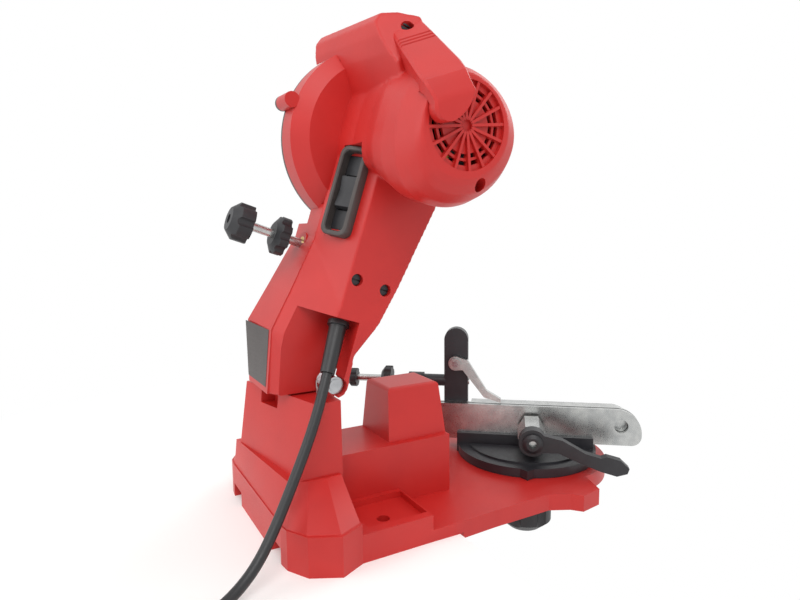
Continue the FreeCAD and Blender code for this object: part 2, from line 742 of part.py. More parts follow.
def half_space(low, high):
    """All the head's space between two planes across the spindle."""
    return Part.makeBox(high - low, 400, 500, Vector(low, -200, -60))


def switch_room():
    """The pocket for the switch and the flat seat round its bezel, in the arm's frame."""
    room = Part.makeBox(16.6, 21, 48.6, Vector(-8.3, -15.3, -24.3))
    wide = number(switch_width) + 0.6
    tall = number(switch_length) + 0.6
    room = room.fuse(Part.makeBox(wide, 16, tall, Vector(-wide / 2, 0, -tall / 2)))
    room.Placement = SWITCH.multiply(room.Placement)
    return room


def head_shells():
    """The two moulded halves of the head, parted across the spindle at the seam."""
    stand["frame"] = ARM
    arm = arm_form()
    grip = handle_form()
    boss = Part.makeCylinder(8, 16, depth_axis(DEPTH_BOSS - 16), depth_direction())
    near = arm.multiFuse([motor_form(), grip, tongue_form()])
    near = near.common(half_space(-140, -number(seam)))
    along = Vector(1, 0, 0)
    cavity = Part.makeCylinder(number(motor_cavity_radius), number(motor_length) - number(end_wall) - 48,
                               Vector(-number(motor_length) + number(end_wall), 0, HEAD_Z), along)
    rear_seat = Part.makeCylinder(14, 12, Vector(-number(motor_length) + number(end_wall), 0, HEAD_Z), along)
    cavity = cavity.cut(rear_seat)
    bearing = BEARING_RADIUS + number(bore_clearance)
    seats = [Part.makeCylinder(bearing, 8, Vector(-number(motor_length) + number(end_wall) + 4, 0, HEAD_Z), along),
             Part.makeCylinder(bearing, 7, Vector(-number(seam) - 7, 0, HEAD_Z), along),
             Part.makeCylinder(8, 42, Vector(-number(seam) - 40, 0, HEAD_Z), along)]
    tools = [cavity] + seats + vents() + arm_recesses() + screw_tools() + [switch_room()]
    near = near.cut(tools).removeSplitter()
    output(made("HeadShellNear", stood(near)), "head_shell_near")
    around = number(wheel_diameter) / 2 + number(guard_gap) + 1
    clear = Part.makeCylinder(around, 80, Vector(-number(seam) - 1, 0, HEAD_Z), along)
    beyond = Part.makeCylinder(around + number(guard_wall) + 8, 60,
                               Vector(-number(seam) + number(guard_depth), 0, HEAD_Z), along)
    far = arm.fuse(boss).multiFuse([grip]).cut([clear]).fuse(guard_form()).cut([beyond])
    far = far.common(half_space(-number(seam), 60))
    back_hole = Part.makeCylinder(9, 8, Vector(-number(seam) - 1, 0, HEAD_Z), along)
    tools = [back_hole] + arm_recesses() + screw_tools() + [switch_room()]
    for y, z in guard_bosses():
        tools.append(Part.makeCylinder(1.5 + number(thread_clearance), 12,
                                       Vector(-number(seam) + number(guard_depth) - 11, y, z), along))
    far = far.cut(tools).removeSplitter()
    output(made("HeadShellFar", stood(far)), "head_shell_far")


def guard_cover():
    """The dark plate over the guard and its two screws."""
    outer = number(wheel_diameter) / 2 + number(guard_gap) + number(guard_wall)
    start = -number(seam) + number(guard_depth)
    along = Vector(1, 0, 0)
    thick = number(cover_thickness)
    plate = Part.makeCylinder(outer, thick, Vector(start, 0, HEAD_Z), along)
    screws = []
    holes = []
    for y, z in guard_bosses():
        plate = plate.fuse(Part.makeCylinder(5, thick, Vector(start, y, z), along))
        holes.append(Part.makeCylinder(1.5 + number(thread_clearance), thick + 2, Vector(start - 1, y, z), along))
        head = Part.makeCylinder(3.4, 2, Vector(start + thick, y, z), along)
        slot = Part.makeBox(1, 6.8, 1, Vector(start + thick + 1.2, y - 3.4, z - 0.5))
        shank = Part.makeCylinder(1.5, 12, Vector(start + thick - 12, y, z), along)
        screws.append(head.cut(slot).fuse(shank))
    rib = Part.makeCylinder(20, 1.2, Vector(start + thick - 0.2, 0, HEAD_Z), along)
    plate = plate.fuse(rib).cut([guard_opening_block(start - 1, 10)] + holes).removeSplitter()
    output(made("GuardCover", stood(plate)), "guard_cover")
    output(made("GuardScrews", stood(Part.makeCompound(screws))), "guard_screws")


def housing_screws():
    """The screws that join the two halves, heads sunk in their recesses."""
    along = Vector(1, 0, 0)
    screws = []
    for y, z, start in screw_spots():
        seat = start + 6
        head = Part.makeCylinder(3.4, 3, Vector(seat - 3, y, z), along)
        slot = Part.makeBox(1.4, 7, 1, Vector(seat - 3, y - 3.5, z - 0.5))
        shank = Part.makeCylinder(2, -number(seam) + 3 - seat, Vector(seat, y, z), along)
        screws.append(head.cut(slot).fuse(shank))
    output(made("HousingScrews", stood(Part.makeCompound(screws))), "housing_screws")


def motor():
    """Stator, brushes, bearings and the turning armature with its fan, in the housing's cavity."""
    stand["frame"] = ARM
    along = "X"
    end = -1 * motor_length
    core = rod("StatorCore", motor_cavity_radius - 0.3, 24.0, (end + 28, 0, arm_reach), along)
    hole = rod("StatorHole", 18.8, 24.0, (end + 28, 0, arm_reach), along)
    coil = rod("StatorCoil", motor_cavity_radius - 4.0, 31.0, (end + 24.5, 0, arm_reach), along)
    coil_hole = rod("StatorCoilHole", 18.8, 31.0, (end + 24.5, 0, arm_reach), along)
    stator = cut("MotorStator", fuse("StatorBody", [core, coil]), [fuse("StatorBore", [hole, coil_hole])])
    output(stator, "motor_stator")
    brushes = []
    for side, angle in (("Top", 0), ("Bottom", 180)):
        turn = Rotation(Vector(1, 0, 0), angle)
        block = doc.addObject("Part::Box", "Brush" + side)
        block.Length = 7
        block.Width = 6
        bind(block, "Height", motor_cavity_radius - 10.6)
        spot = Vector(number(end) + 16.5, -3, 10.3)
        block.Placement = ARM.multiply(Placement(Vector(0, 0, HEAD_Z), turn)).multiply(Placement(spot, Rotation()))
        brushes.append(block)
    pair = doc.addObject("Part::Compound", "BrushHolders")
    pair.Links = brushes
    output(pair, "brush_holders")
    for label, start in (("bearing_rear", end + 8), ("bearing_front", -1 * seam - 7)):
        body = rod(label + "_ring", BEARING_RADIUS, 7.0, (start, 0, arm_reach), along)
        bore = rod(label + "_bore", spindle_diameter / 2 + bore_clearance, 7.0, (start, 0, arm_reach), along)
        output(cut(label + "_cut", body, [bore]), label)
    shaft = rod("Shaft", spindle_diameter / 2, motor_length + 2.0, (end + 8.5, 0, arm_reach), along)
    rotor = rod("Rotor", 18.0, 22.0, (end + 29, 0, arm_reach), along)
    commutator = rod("Commutator", 10.0, 8.0, (end + 15.5, 0, arm_reach), along)
    output(fuse("MotorArmature", [shaft, rotor, commutator]), "motor_armature")
    hub = rod("FanHub", 9.0, 9.0, (end + 56.4, 0, arm_reach), along)
    disc = rod("FanDisc", 25.0, 1.6, (end + 56.4, 0, arm_reach), along)
    blades = []
    for index in range(9):
        blade = doc.addObject("Part::Box", "FanBlade%d" % index)
        blade.Length = 9
        blade.Width = 1.6
        blade.Height = 17
        turn = Placement(Vector(0, 0, HEAD_Z), Rotation(Vector(1, 0, 0), index * 40.0))
        blade.Placement = ARM.multiply(turn).multiply(Placement(Vector(number(end) + 56.4, -0.8, 8), Rotation()))
        blades.append(blade)
    bore = rod("FanBore", spindle_diameter / 2 + bore_clearance, 9.0, (end + 56.4, 0, arm_reach), along)
    output(cut("CoolingFan", fuse("FanBody", [hub, disc] + blades), [bore]), "cooling_fan")


def spindle_end():
    """The grinding wheel between its two flanges, and the nut that clamps them."""
    half = wheel_thickness / 2
    bore = spindle_diameter / 2 + bore_clearance
    hub = wheel_bore / 2 - bore_clearance
    flange = 14.0
    inner = turned("InnerFlange", [(bore, 0), (flange, 0), (flange, 4.4), (hub, 4.4), (hub, wheel_thickness + 4.0),
                                   (bore, wheel_thickness + 4.0)],
                   (-1 * half - 4.4, 0, arm_reach), "X")
    output(inner, "inner_flange")
    outer = turned("OuterFlange", [(bore, 0), (flange, 0), (flange, 2.0), (flange - 3.0, 3.4), (bore, 3.4)],
                   (half, 0, arm_reach), "X")
    output(outer, "outer_flange")
    nut = doc.addObject("Part::Prism", "SpindleNutHex")
    nut.Polygon = 6
    bind(nut, "Circumradius", spindle_diameter * 0.92)
    nut.Height = 4.4
    place(nut, (half + 3.4, 0, arm_reach), AXIS_TURN["X"])
    nut_bore = rod("SpindleNutBore", bore, 4.4, (half + 3.4, 0, arm_reach), "X")
    output(cut("SpindleNut", nut, [nut_bore]), "spindle_nut")
    edge = wheel_diameter / 2
    profile = [(wheel_bore / 2, 0), (edge - 1.2, 0), (edge, half), (edge - 1.2, wheel_thickness),
               (wheel_bore / 2, wheel_thickness)]
    wheel = turned("GrindingWheel", profile, (-1 * half, 0, arm_reach), "X")
    output(wheel, "grinding_wheel")


def switch():
    """The rocker switch in its bezel on the arm's rear face."""
    stand["frame"] = ARM.multiply(SWITCH)
    half_long = switch_length / 2
    half_wide = switch_width / 2
    rocker_half = rocker_length / 2
    rocker_side = rocker_width / 2
    gap = 0.3
    plate = box("BezelPlate", (-1 * half_wide, 0.05, -1 * half_long), (half_wide, 2.5, half_long))
    window = box("BezelWindow", (-1 * rocker_side - gap, -1, -1 * rocker_half - 0.6),
                 (rocker_side + gap, 4, rocker_half + 0.6))
    output(cut("SwitchBezel", plate, [window]), "switch_bezel")
    body = box("SwitchBlock", (-8, -1 * switch_depth, -24), (8, -0.3, 24))
    well = box("SwitchWell", (-1 * rocker_side - gap, -7.5, -1 * rocker_half - 0.6),
               (rocker_side + gap, 1, rocker_half + 0.6))
    output(cut("SwitchBody", body, [well]), "switch_body")
    round_part = rod("RockerRound", rocker_half, rocker_width, (-1 * rocker_side, ROCKER_PIVOT, 0), "X")
    half = number(rocker_half)
    side = ((-4, -half - 1), (4.6, -half - 1), (3.0, 0), (4.6, half + 1), (-4, half + 1))
    shape = [Vector(-20, y, z) for y, z in side]
    prism = Part.Face(polygon(shape)).extrude(Vector(40, 0, 0))
    form = made("RockerForm", stood(prism))
    rocker = doc.addObject("Part::Common", "SwitchRocker")
    rocker.Base = round_part
    rocker.Tool = form
    output(rocker, "switch_rocker")


def strain_relief():
    """The tapered rubber sleeve that the cord leaves the arm through."""
    stand["frame"] = ARM
    length = gland_length
    wide = gland_diameter / 2
    points = [(cord_diameter / 2 + 0.1, 0), (wide, 0), (wide, 3.0), (wide * 0.8, 3.0), (wide * 0.66, length),
              (cord_diameter / 2 + 0.1, length)]
    body = turned("StrainRelief", points, GLAND_TOP, Rotation(Vector(0, 0, 1), GLAND_WAY))
    output(body, "strain_relief")


def depth_stop():
    """The depth screw with its knob, its lock nut and the threaded insert in the arm."""
    stand["frame"] = ARM
    way = Rotation(Vector(0, 0, 1), depth_direction())
    bore = screw_diameter / 2 + thread_clearance
    tip = -(number(hinge_height) - number(beam_height) - number(tower_height) - 0.4)
    rod_piece = rod("DepthScrewRod", screw_diameter / 2, 68.0 - tip + 4, tuple(depth_axis(tip)), way)
    output(rod_piece, "depth_screw")
    knob = lobed("DepthKnob", depth_knob_diameter, depth_knob_diameter * 0.56, 6, bore, tuple(depth_axis(68)), way)
    output(knob, "depth_knob")
    nut = lobed("DepthLockNut", lock_nut_diameter, lock_nut_diameter * 0.35, 8, bore, tuple(depth_axis(43)), way)
    output(nut, "depth_lock_nut")
    insert_outer = rod("InsertOuter", 5.0, 12.0, tuple(depth_axis(DEPTH_BOSS - 12)), way)
    insert_bore = rod("InsertBore", bore, 12.0, tuple(depth_axis(DEPTH_BOSS - 12)), way)
    output(cut("DepthNutInsert", insert_outer, [insert_bore]), "depth_nut_insert")


# ---- chain vice -----------------------------------------------------------------------------

# In the vice's frame X runs along the rails towards the chain stop and Y points to the clamp lever.
FLAT = Rotation(Vector(1, 0, 0), 90)
SCREW_LIFT = 11.0
HEAD_SINK = 2.6


def swivel():
    """The turning disc on its bolt, with the pointer and the flange before the rails."""
    stand["frame"] = VICE
    low = number(nose_height) + number(disc_gap)
    thick = number(disc_thickness)
    radius = number(disc_radius)
    disc = Part.makeCylinder(radius, thick, Vector(0, 0, low))
    disc = disc.cut(Part.makeBox(3 * radius, radius, 20, Vector(-1.5 * radius, -radius - 17, low - 1)))
    pointer = Part.Face(polygon([Vector(-7, radius - 2, low), Vector(7, radius - 2, low), Vector(0, radius + 5, low)]))
    step = Part.makeCylinder(radius - 9, 1.5, Vector(0, 0, low + thick))
    step = step.common(Part.makeBox(3 * radius, radius, 20, Vector(-1.5 * radius, 12, low)))
    front = number(rail_slot) / 2 + number(rail_thickness) + 0.3
    flange = Part.makeBox(1.96 * radius, 4, 9 + thick, Vector(-0.95 * radius, front, low))
    disc = disc.multiFuse([pointer.extrude(Vector(0, 0, thick)), step, flange])
    bolt = number(swivel_bolt_diameter) / 2 + number(pin_clearance)
    holes = [Part.makeCylinder(bolt, 30, Vector(0, 0, low - 1)),
             Part.makeCylinder(9.2, HEAD_SINK, Vector(0, 0, low + thick - HEAD_SINK))]
    output(made("SwivelDisc", stood(disc.cut(holes).removeSplitter())), "swivel_disc")
    top = nose_height + disc_gap + disc_thickness
    head = rod("SwivelBoltHead", 9.0, 2.4, (0, 0, top - HEAD_SINK), "Z")
    shank = rod("SwivelBoltShank", swivel_bolt_diameter / 2, top + 52.0 - HEAD_SINK, (0, 0, -52.0), "Z")
    output(fuse("SwivelBolt", [head, shank]), "swivel_bolt")
    stand["frame"] = BENCH
    turn_radius = swivel_bolt_diameter / 2 + pin_clearance
    washer = rod("WasherOuter", 13.0, 2.0, (0, -swivel_place, -20.3), "Z")
    washer_bore = rod("WasherBore", turn_radius, 2.0, (0, -swivel_place, -20.3), "Z")
    output(cut("SwivelWasher", washer, [washer_bore]), "swivel_washer")
    star = lobed("LockKnobStar", lock_knob_diameter, lock_knob_diameter * 0.46, 6, turn_radius,
                 (0, -number(swivel_place), -36), Rotation(Vector(1, 0, 0), 180))
    hub = turned("LockKnobHub", [(turn_radius, 0), (lock_knob_diameter / 4, 0), (lock_knob_diameter / 3, 15.4),
                                 (turn_radius, 15.4)],
                 (0, -number(swivel_place), -20.6), Rotation(Vector(1, 0, 0), 180))
    output(fuse("LockKnob", [star, hub]), "lock_knob")


def rails():
    """The two zinc rails that hold the chain on edge, the block behind them and its screws."""
    stand["frame"] = VICE
    low = nose_height + disc_gap + disc_thickness + rail_lift
    high = low + rail_height
    left = -1 * rail_overhang
    right = rail_length - rail_overhang
    bolt_bore = clamp_diameter / 2 + bore_clearance
    spots = (-40.0, 34.0)
    back = number(rail_slot) / 2 + number(rail_thickness)
    for label, face in (("rail_front", back), ("rail_rear", -number(rail_slot) / 2)):
        plate = padded(label + "_plate", [(left, low), (right, low), (right, high), (left, high)], rail_thickness,
                       (0, face, 0), FLAT)
        round_edges(plate, rail_corner, lambda edge: edge.BoundBox.YMin > number(high) - 0.1
                    and edge.BoundBox.XMax < number(left) + 0.1)
        round_edges(plate, 8.0, lambda edge: edge.BoundBox.YMax < number(low) + 0.1
                    and edge.BoundBox.XMax < number(left) + 0.1)
        turn = Rotation(Vector(1, 0, 0), 90)
        tools = [rod(label + "_hole", rail_hole / 2, 12.0, (left + 16.0, face + 1, low + 16.0), turn),
                 rod(label + "_bolt_hole", bolt_bore, 12.0, (-1 * clamp_place, face + 1, clamp_height), turn)]
        for spot in spots:
            tools.append(rod(label + "_screw_hole", 2.05, 12.0, (spot, face + 1, low + SCREW_LIFT), turn))
        output(cut(label, plate, tools), label)
    behind = -back
    base = nose_height + disc_gap + disc_thickness
    ends = (left + 6.0, 46.0)
    block = padded("BackingBlock", [(ends[0], low), (-44, low), (-44, base), (ends[1], base), (ends[1], high),
                                    (ends[0], high)], backing_thickness, (0, behind, 0), FLAT)
    round_edges(block, rail_corner - 3.0, lambda edge: edge.BoundBox.YMin > number(high) - 0.1
                and edge.BoundBox.XMax < number(ends[0]) + 0.1)
    turn = Rotation(Vector(1, 0, 0), 90)
    tools = [rod("BackingBoltHole", bolt_bore, 30.0, (-1 * clamp_place, 0, clamp_height), turn)]
    for spot in spots:
        tools.append(rod("BackingScrewHole", 2.05, 30.0, (spot, 0, low + SCREW_LIFT), turn))
    output(cut("RailBacking", block, tools), "rail_backing")
    screws = []
    for spot in spots:
        level = number(low) + SCREW_LIFT
        rear = behind - number(backing_thickness)
        head = Part.makeCylinder(3.6, 2, Vector(spot, rear, level), Vector(0, -1, 0))
        shank = Part.makeCylinder(2, back - rear, Vector(spot, back, level), Vector(0, -1, 0))
        cross = Part.makeBox(5, 1, 1, Vector(spot - 2.5, rear - 2.1, level - 0.5))
        screws.append(head.cut(cross).fuse(shank))
    output(made("RailScrews", stood(Part.makeCompound(screws))), "rail_screws")


def clamp():
    """The cam clamp: bolt through the rails, hexagonal post, lever and cap."""
    stand["frame"] = VICE
    front = number(rail_slot) / 2 + number(rail_thickness)
    flange_face = front + 4.3
    behind = -front - number(backing_thickness)
    way = Rotation(Vector(1, 0, 0), -90)
    place_x = -1 * clamp_place
    bore = clamp_diameter / 2 + bore_clearance
    post_end = flange_face + 0.3 + post_length
    head = rod("ClampHead", 5.5, 3.0, (place_x, behind - 3.0, clamp_height), way)
    shank = rod("ClampShank", clamp_diameter / 2, post_end + 10.0 - behind, (place_x, behind, clamp_height), way)
    output(fuse("ClampBolt", [head, shank]), "clamp_bolt")
    hexagon = doc.addObject("Part::Prism", "PostHex")
    hexagon.Polygon = 6
    hexagon.Circumradius = 11.0
    bind(hexagon, "Height", post_length)
    place(hexagon, (place_x, flange_face + 0.3, clamp_height), way)
    post_bore = rod("PostBore", bore, post_length, (place_x, flange_face + 0.3, clamp_height), way)
    output(cut("ClampPost", hexagon, [post_bore]), "clamp_post")
    start = number(post_end) + 0.3
    low = number(clamp_height)
    x = -number(clamp_place)
    along = Vector(0, 1, 0)
    hub = Part.makeCylinder(10.5, 10, Vector(x, start, low), along)
    reach = number(lever_length)
    face = start + 2.5
    bar = [(x, 8), (x - reach * 0.35, 3), (x - reach * 0.62, -6.5), (x - reach * 0.8, -9.5), (x - reach * 0.86, -8),
           (x - reach * 1.02, -10.5), (x - reach * 1.12, -16.5), (x - reach * 1.1, -20.5), (x - reach * 0.98, -23),
           (x - reach * 0.8, -20), (x - reach * 0.55, -14), (x - reach * 0.3, -7), (x, -8)]
    arm = Part.Face(polygon([Vector(px, face, low + pz) for px, pz in bar])).extrude(Vector(0, 7, 0))
    lever = hub.fuse(arm).cut(Part.makeCylinder(number(bore), 40, Vector(x, start - 5, low), along))
    output(made("ClampLever", stood(lever.removeSplitter())), "clamp_lever")
    cap = turned("LeverCap", [(bore, 0), (7.5, 0), (7.5, 2.0), (5.0, 3.6), (bore, 3.6)],
                 (x, start + 10.1, low), way)
    output(cap, "lever_cap")


def chain_stop():
    """The bracket behind the rails with the chain pawl and the stop screw."""
    stand["frame"] = VICE
    base = number(nose_height) + number(disc_gap) + number(disc_thickness)
    front = -number(rail_slot) / 2 - number(rail_thickness)
    behind = front - number(backing_thickness)
    half = number(bracket_width) / 2
    spot = number(bracket_place)
    top = base + number(bracket_height)
    across = Vector(0, -1, 0)
    deep = number(backing_thickness)
    post = Part.makeBox(2 * half, deep, top - half - base, Vector(spot - half, behind, base))
    post = post.fuse(Part.makeCylinder(half, deep, Vector(spot, front, top - half), across))
    level = number(stop_screw_height)
    middle = (front + behind) / 2
    along = Vector(1, 0, 0)
    sleeve = Part.makeCylinder(5, 33, Vector(spot + half - 1, middle, level), along)
    collar = Part.makeCylinder(6.5, 13, Vector(spot + half + 18, middle, level), along)
    bracket = post.multiFuse([sleeve, collar])
    screw_bore = number(screw_diameter) / 2 + number(thread_clearance)
    pin_bore = 2.5 + number(pin_clearance)
    pin_level = number(pawl_pin_height)
    tools = [Part.makeCylinder(screw_bore, 90, Vector(spot - half - 2, middle, level), along),
             Part.makeCylinder(pin_bore, 20, Vector(spot, front + 1, pin_level), across)]
    output(made("StopBracket", stood(bracket.cut(tools).removeSplitter())), "stop_bracket")
    pin = Part.makeCylinder(2.5, deep + 9, Vector(spot, front + 8, pin_level), across)
    output(made("PawlPin", stood(pin)), "pawl_pin")
    bush = Part.makeCylinder(4.6, 2, Vector(spot, front + 7.6, pin_level), across)
    bush = bush.cut(Part.makeCylinder(pin_bore, 4, Vector(spot, front + 8, pin_level), across))
    output(made("PawlBush", stood(bush)), "pawl_bush")
    length = number(pawl_length)
    rail_top = base + number(rail_lift) + number(rail_height)
    drop = pin_level - rail_top - 1.2
    run = math.sqrt(length * length - drop * drop)
    tip = Vector(spot - run, 0, pin_level - drop)
    eye = Vector(spot, 0, pin_level)
    finger = [eye + Vector(0, 0, 6), eye + Vector(-10, 0, 3), tip + Vector(12, 0, 10), tip + Vector(0, 0, 3),
              tip, tip + Vector(14, 0, 4), eye + Vector(-6, 0, -5.5), eye + Vector(0, 0, -6)]
    flat = Part.Face(polygon([Vector(p.x, front + 5.2, p.z) for p in finger])).extrude(Vector(0, -4.8, 0))
    ring = Part.makeCylinder(6, 4.8, Vector(spot, front + 5.2, pin_level), across)
    hole = Part.makeCylinder(pin_bore, 20, Vector(spot, front + 8, pin_level), across)
    output(made("ChainPawl", stood(flat.fuse(ring).cut(hole).removeSplitter())), "chain_pawl")
    spring_place = Vector(spot, front - deep - 0.2, pin_level)
    clip = Part.makeCylinder(4.2, 1, spring_place, across)
    clip = clip.cut(Part.makeCylinder(2.5, 4, spring_place + Vector(0, 1, 0), across))
    output(made("PawlClip", stood(clip)), "pawl_clip")
    screw = rod("StopScrewRod", screw_diameter / 2, stop_screw_length, (spot - half - 1, middle, level), "X")
    output(screw, "stop_screw")
    end = spot - half - 1 + number(stop_screw_length)
    knob = lobed("StopKnob", stop_knob_diameter, stop_knob_diameter * 0.5, 6, screw_bore_size(),
                 (end - 6, middle, level), AXIS_TURN["X"])
    output(knob, "stop_knob")
    nut = lobed("StopLockNut", stop_nut_diameter, stop_nut_diameter * 0.4, 8, screw_bore_size(),
                (spot + half + 46, middle, level), AXIS_TURN["X"])
    output(nut, "stop_lock_nut")


def screw_bore_size():
    """The bore of what turns on the adjusting screws' threads."""
    return screw_diameter / 2 + thread_clearance


# ---- mains lead -----------------------------------------------------------------------------

# The lead leaves the sleeve, drops behind the column to the bench and lies there.
COIL_INNER = 28.0
LEAD_POINTS = [
    (-44.2, 6.3, 110.4),
    (-49.2, 12.4, 97.0),
    (-53.4, 19.4, 82.5),
    (-57.0, 27.0, 68.0),
    (-63.0, 39.0, 48.5),
    (-69.0, 51.0, 30.0),
    (-76.0, 64.0, 15.0),
    (-84.0, 80.0, 6.0),
    (-94.0, 99.0, 3.4),
    (-106.0, 120.0, 3.4),
    (-118.0, 140.0, 3.4),
]
TAIL_POINTS = [(-206.3, 139.5, 3.4), (-216.0, 122.0, 3.4), (-220.0, 103.0, 3.4), (-218.0, 84.0, 3.4)]


def lead_tube(name, points):
    """A round tube along straight runs joined by tangent arcs."""
    corners = [Vector(*point) for point in points]
    edges = []
    start = corners[0]
    radii = []
    for before, corner, after in zip(corners, corners[1:], corners[2:]):
        come = (corner - before).normalize()
        leave = (after - corner).normalize()
        half_turn = come.getAngle(leave) / 2
        shorter = min((corner - before).Length, (after - corner).Length)
        radius = 0.45 * shorter / math.tan(half_turn)
        radii.append(round(radius, 1))
        reach = radius * math.tan(half_turn)
        first = corner - come * reach
        last = corner + leave * reach
        bend = (leave - come).normalize()
        middle = corner + bend * (radius / math.cos(half_turn) - radius)
        edges.append(Part.makeLine(start, first))
        edges.append(Part.Arc(first, middle, last).toShape())
        start = last
    edges.append(Part.makeLine(start, corners[-1]))
    print(name, "arc radii", radii)
    path = Part.Wire(edges)
    section = Part.Wire([Part.makeCircle(number(cord_diameter) / 2, corners[0], corners[1] - corners[0])])
    return path.makePipeShell([section], True, False)


def mains_lead():
    """The mains lead, the coil that its spare length is wound into, and the plug."""
    stand["frame"] = BENCH
    main = lead_tube("lead", LEAD_POINTS)
    tail = lead_tube("tail", TAIL_POINTS)
    output(made("MainsCord", Part.makeCompound([main, tail])), "mains_cord")
    radius = cord_diameter / 2
    last = Vector(*LEAD_POINTS[-1])
    way = (last - Vector(*LEAD_POINTS[-2])).normalize()
    mean = COIL_INNER + 3.5 * number(cord_diameter) + 0.3
    middle = last + Vector(-way.y, way.x, 0) * mean
    width = cord_diameter * 3.0
    high = cord_diameter * 3.0
    corner = radius * 0.9
    ring = turned("CordCoil", [(COIL_INNER, corner), (COIL_INNER + corner, 0.1), (COIL_INNER + width - corner, 0.1),
                               (COIL_INNER + width, corner), (COIL_INNER + width, high - corner),
                               (COIL_INNER + width - corner, high), (COIL_INNER + corner, high),
                               (COIL_INNER, high - corner)], tuple(middle - Vector(0, 0, middle.z)))
    output(ring, "cord_coil")
    end = Vector(*TAIL_POINTS[-1])
    out = (end - Vector(*TAIL_POINTS[-2])).normalize()
    way = Rotation(Vector(0, 0, 1), out)
    body = turned("PlugBody", [(0, 0), (5, 0), (6.5, 12), (12, 24), (12, 38), (0, 38)],
                  (end.x, end.y, 12.1), way)
    pins = []
    side = Vector(-out.y, out.x, 0)
    for offset in (-9.5, 9.5):
        foot = end + out * 37.5 + side * offset
        pins.append(rod("PlugPin", 2.0, 19.5, (foot.x, foot.y, 12.1), way))
    output(fuse("MainsPlug", [body] + pins), "mains_plug")


# ---- assembly -------------------------------------------------------------------------------

base_housing()
hinge()
head_shells()
guard_cover()
housing_screws()
motor()
spindle_end()
switch()
strain_relief()
depth_stop()
swivel()
rails()
clamp()
chain_stop()
mains_lead()
doc.recompute()

faults = []
for item in doc.Objects:
    if "Invalid" in item.State or "Error" in item.State:
        faults.append("%s: %s" % (item.Name, item.State))
for label, item in outputs:
    if item.Shape.isNull() or not item.Shape.isValid():
        faults.append("%s has no valid shape" % label)
if faults:
    raise RuntimeError("; ".join(faults))

for label, item in outputs:
    item.Shape.exportStep("parts/%s.step" % label)
    print("%-18s %2d solids %9.0f mm3" % (label, len(item.Shape.Solids), item.Shape.Volume))
print(len(outputs), "nodes")
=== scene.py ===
"""Bench sharpener for saw chains: head housing, lead, finishes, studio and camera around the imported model.

Metres, in the frame of the model: X along the grinding spindle towards the guard's cover,
Y from the chain vice to the rear, Z up from the bench top.
"""
import logging
import math
from dataclasses import dataclass, field

import bmesh
import bpy
from mathutils import Matrix, Vector


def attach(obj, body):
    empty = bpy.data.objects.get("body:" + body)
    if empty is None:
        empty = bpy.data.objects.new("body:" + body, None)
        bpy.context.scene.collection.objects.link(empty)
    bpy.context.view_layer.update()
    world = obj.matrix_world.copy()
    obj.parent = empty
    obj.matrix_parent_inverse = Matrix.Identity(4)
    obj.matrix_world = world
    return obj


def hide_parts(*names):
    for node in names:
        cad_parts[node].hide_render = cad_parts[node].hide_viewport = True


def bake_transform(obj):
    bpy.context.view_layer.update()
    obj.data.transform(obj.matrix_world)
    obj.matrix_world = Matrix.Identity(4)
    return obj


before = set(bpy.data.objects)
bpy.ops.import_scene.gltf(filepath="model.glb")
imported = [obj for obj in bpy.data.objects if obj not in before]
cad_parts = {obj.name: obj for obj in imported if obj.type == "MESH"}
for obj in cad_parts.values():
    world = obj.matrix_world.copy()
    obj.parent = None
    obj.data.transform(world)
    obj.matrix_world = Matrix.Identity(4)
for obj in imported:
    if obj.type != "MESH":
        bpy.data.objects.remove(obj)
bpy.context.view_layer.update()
log = logging.getLogger("sharpener")

MM = 0.001
Point = tuple[float, float, float]


# ---- colour and nodes -----------------------------------------------------------------------


def linear(colour: str) -> tuple[float, float, float, float]:
    """Turn an sRGB hex colour into the linear values that shaders use.

    Args:
        colour: the colour as #RRGGBB.

    Returns:
        Red, green, blue and an alpha of one.
    """
    channels = [int(colour[start:start + 2], 16) / 255 for start in (1, 3, 5)]
    straight = [c / 12.92 if c <= 0.04045 else ((c + 0.055) / 1.055) ** 2.4 for c in channels]
    return (straight[0], straight[1], straight[2], 1.0)


def add_node(tree: bpy.types.NodeTree, kind: str, settings: dict | None = None,
             inputs: dict | None = None) -> bpy.types.Node:
    """Add one shader node with its settings, values and links.

    Args:
        tree: the node tree that gets the node.
        kind: the node's type name.
        settings: properties of the node.
        inputs: socket values, or output sockets to link, by socket name or number.

    Returns:
        The new node.
    """
    node = tree.nodes.new(kind)
    for name, value in (settings or {}).items():
        setattr(node, name, value)
    for name, value in (inputs or {}).items():
        if isinstance(value, bpy.types.NodeSocket):
            tree.links.new(value, node.inputs[name])
        else:
            node.inputs[name].default_value = value
    return node


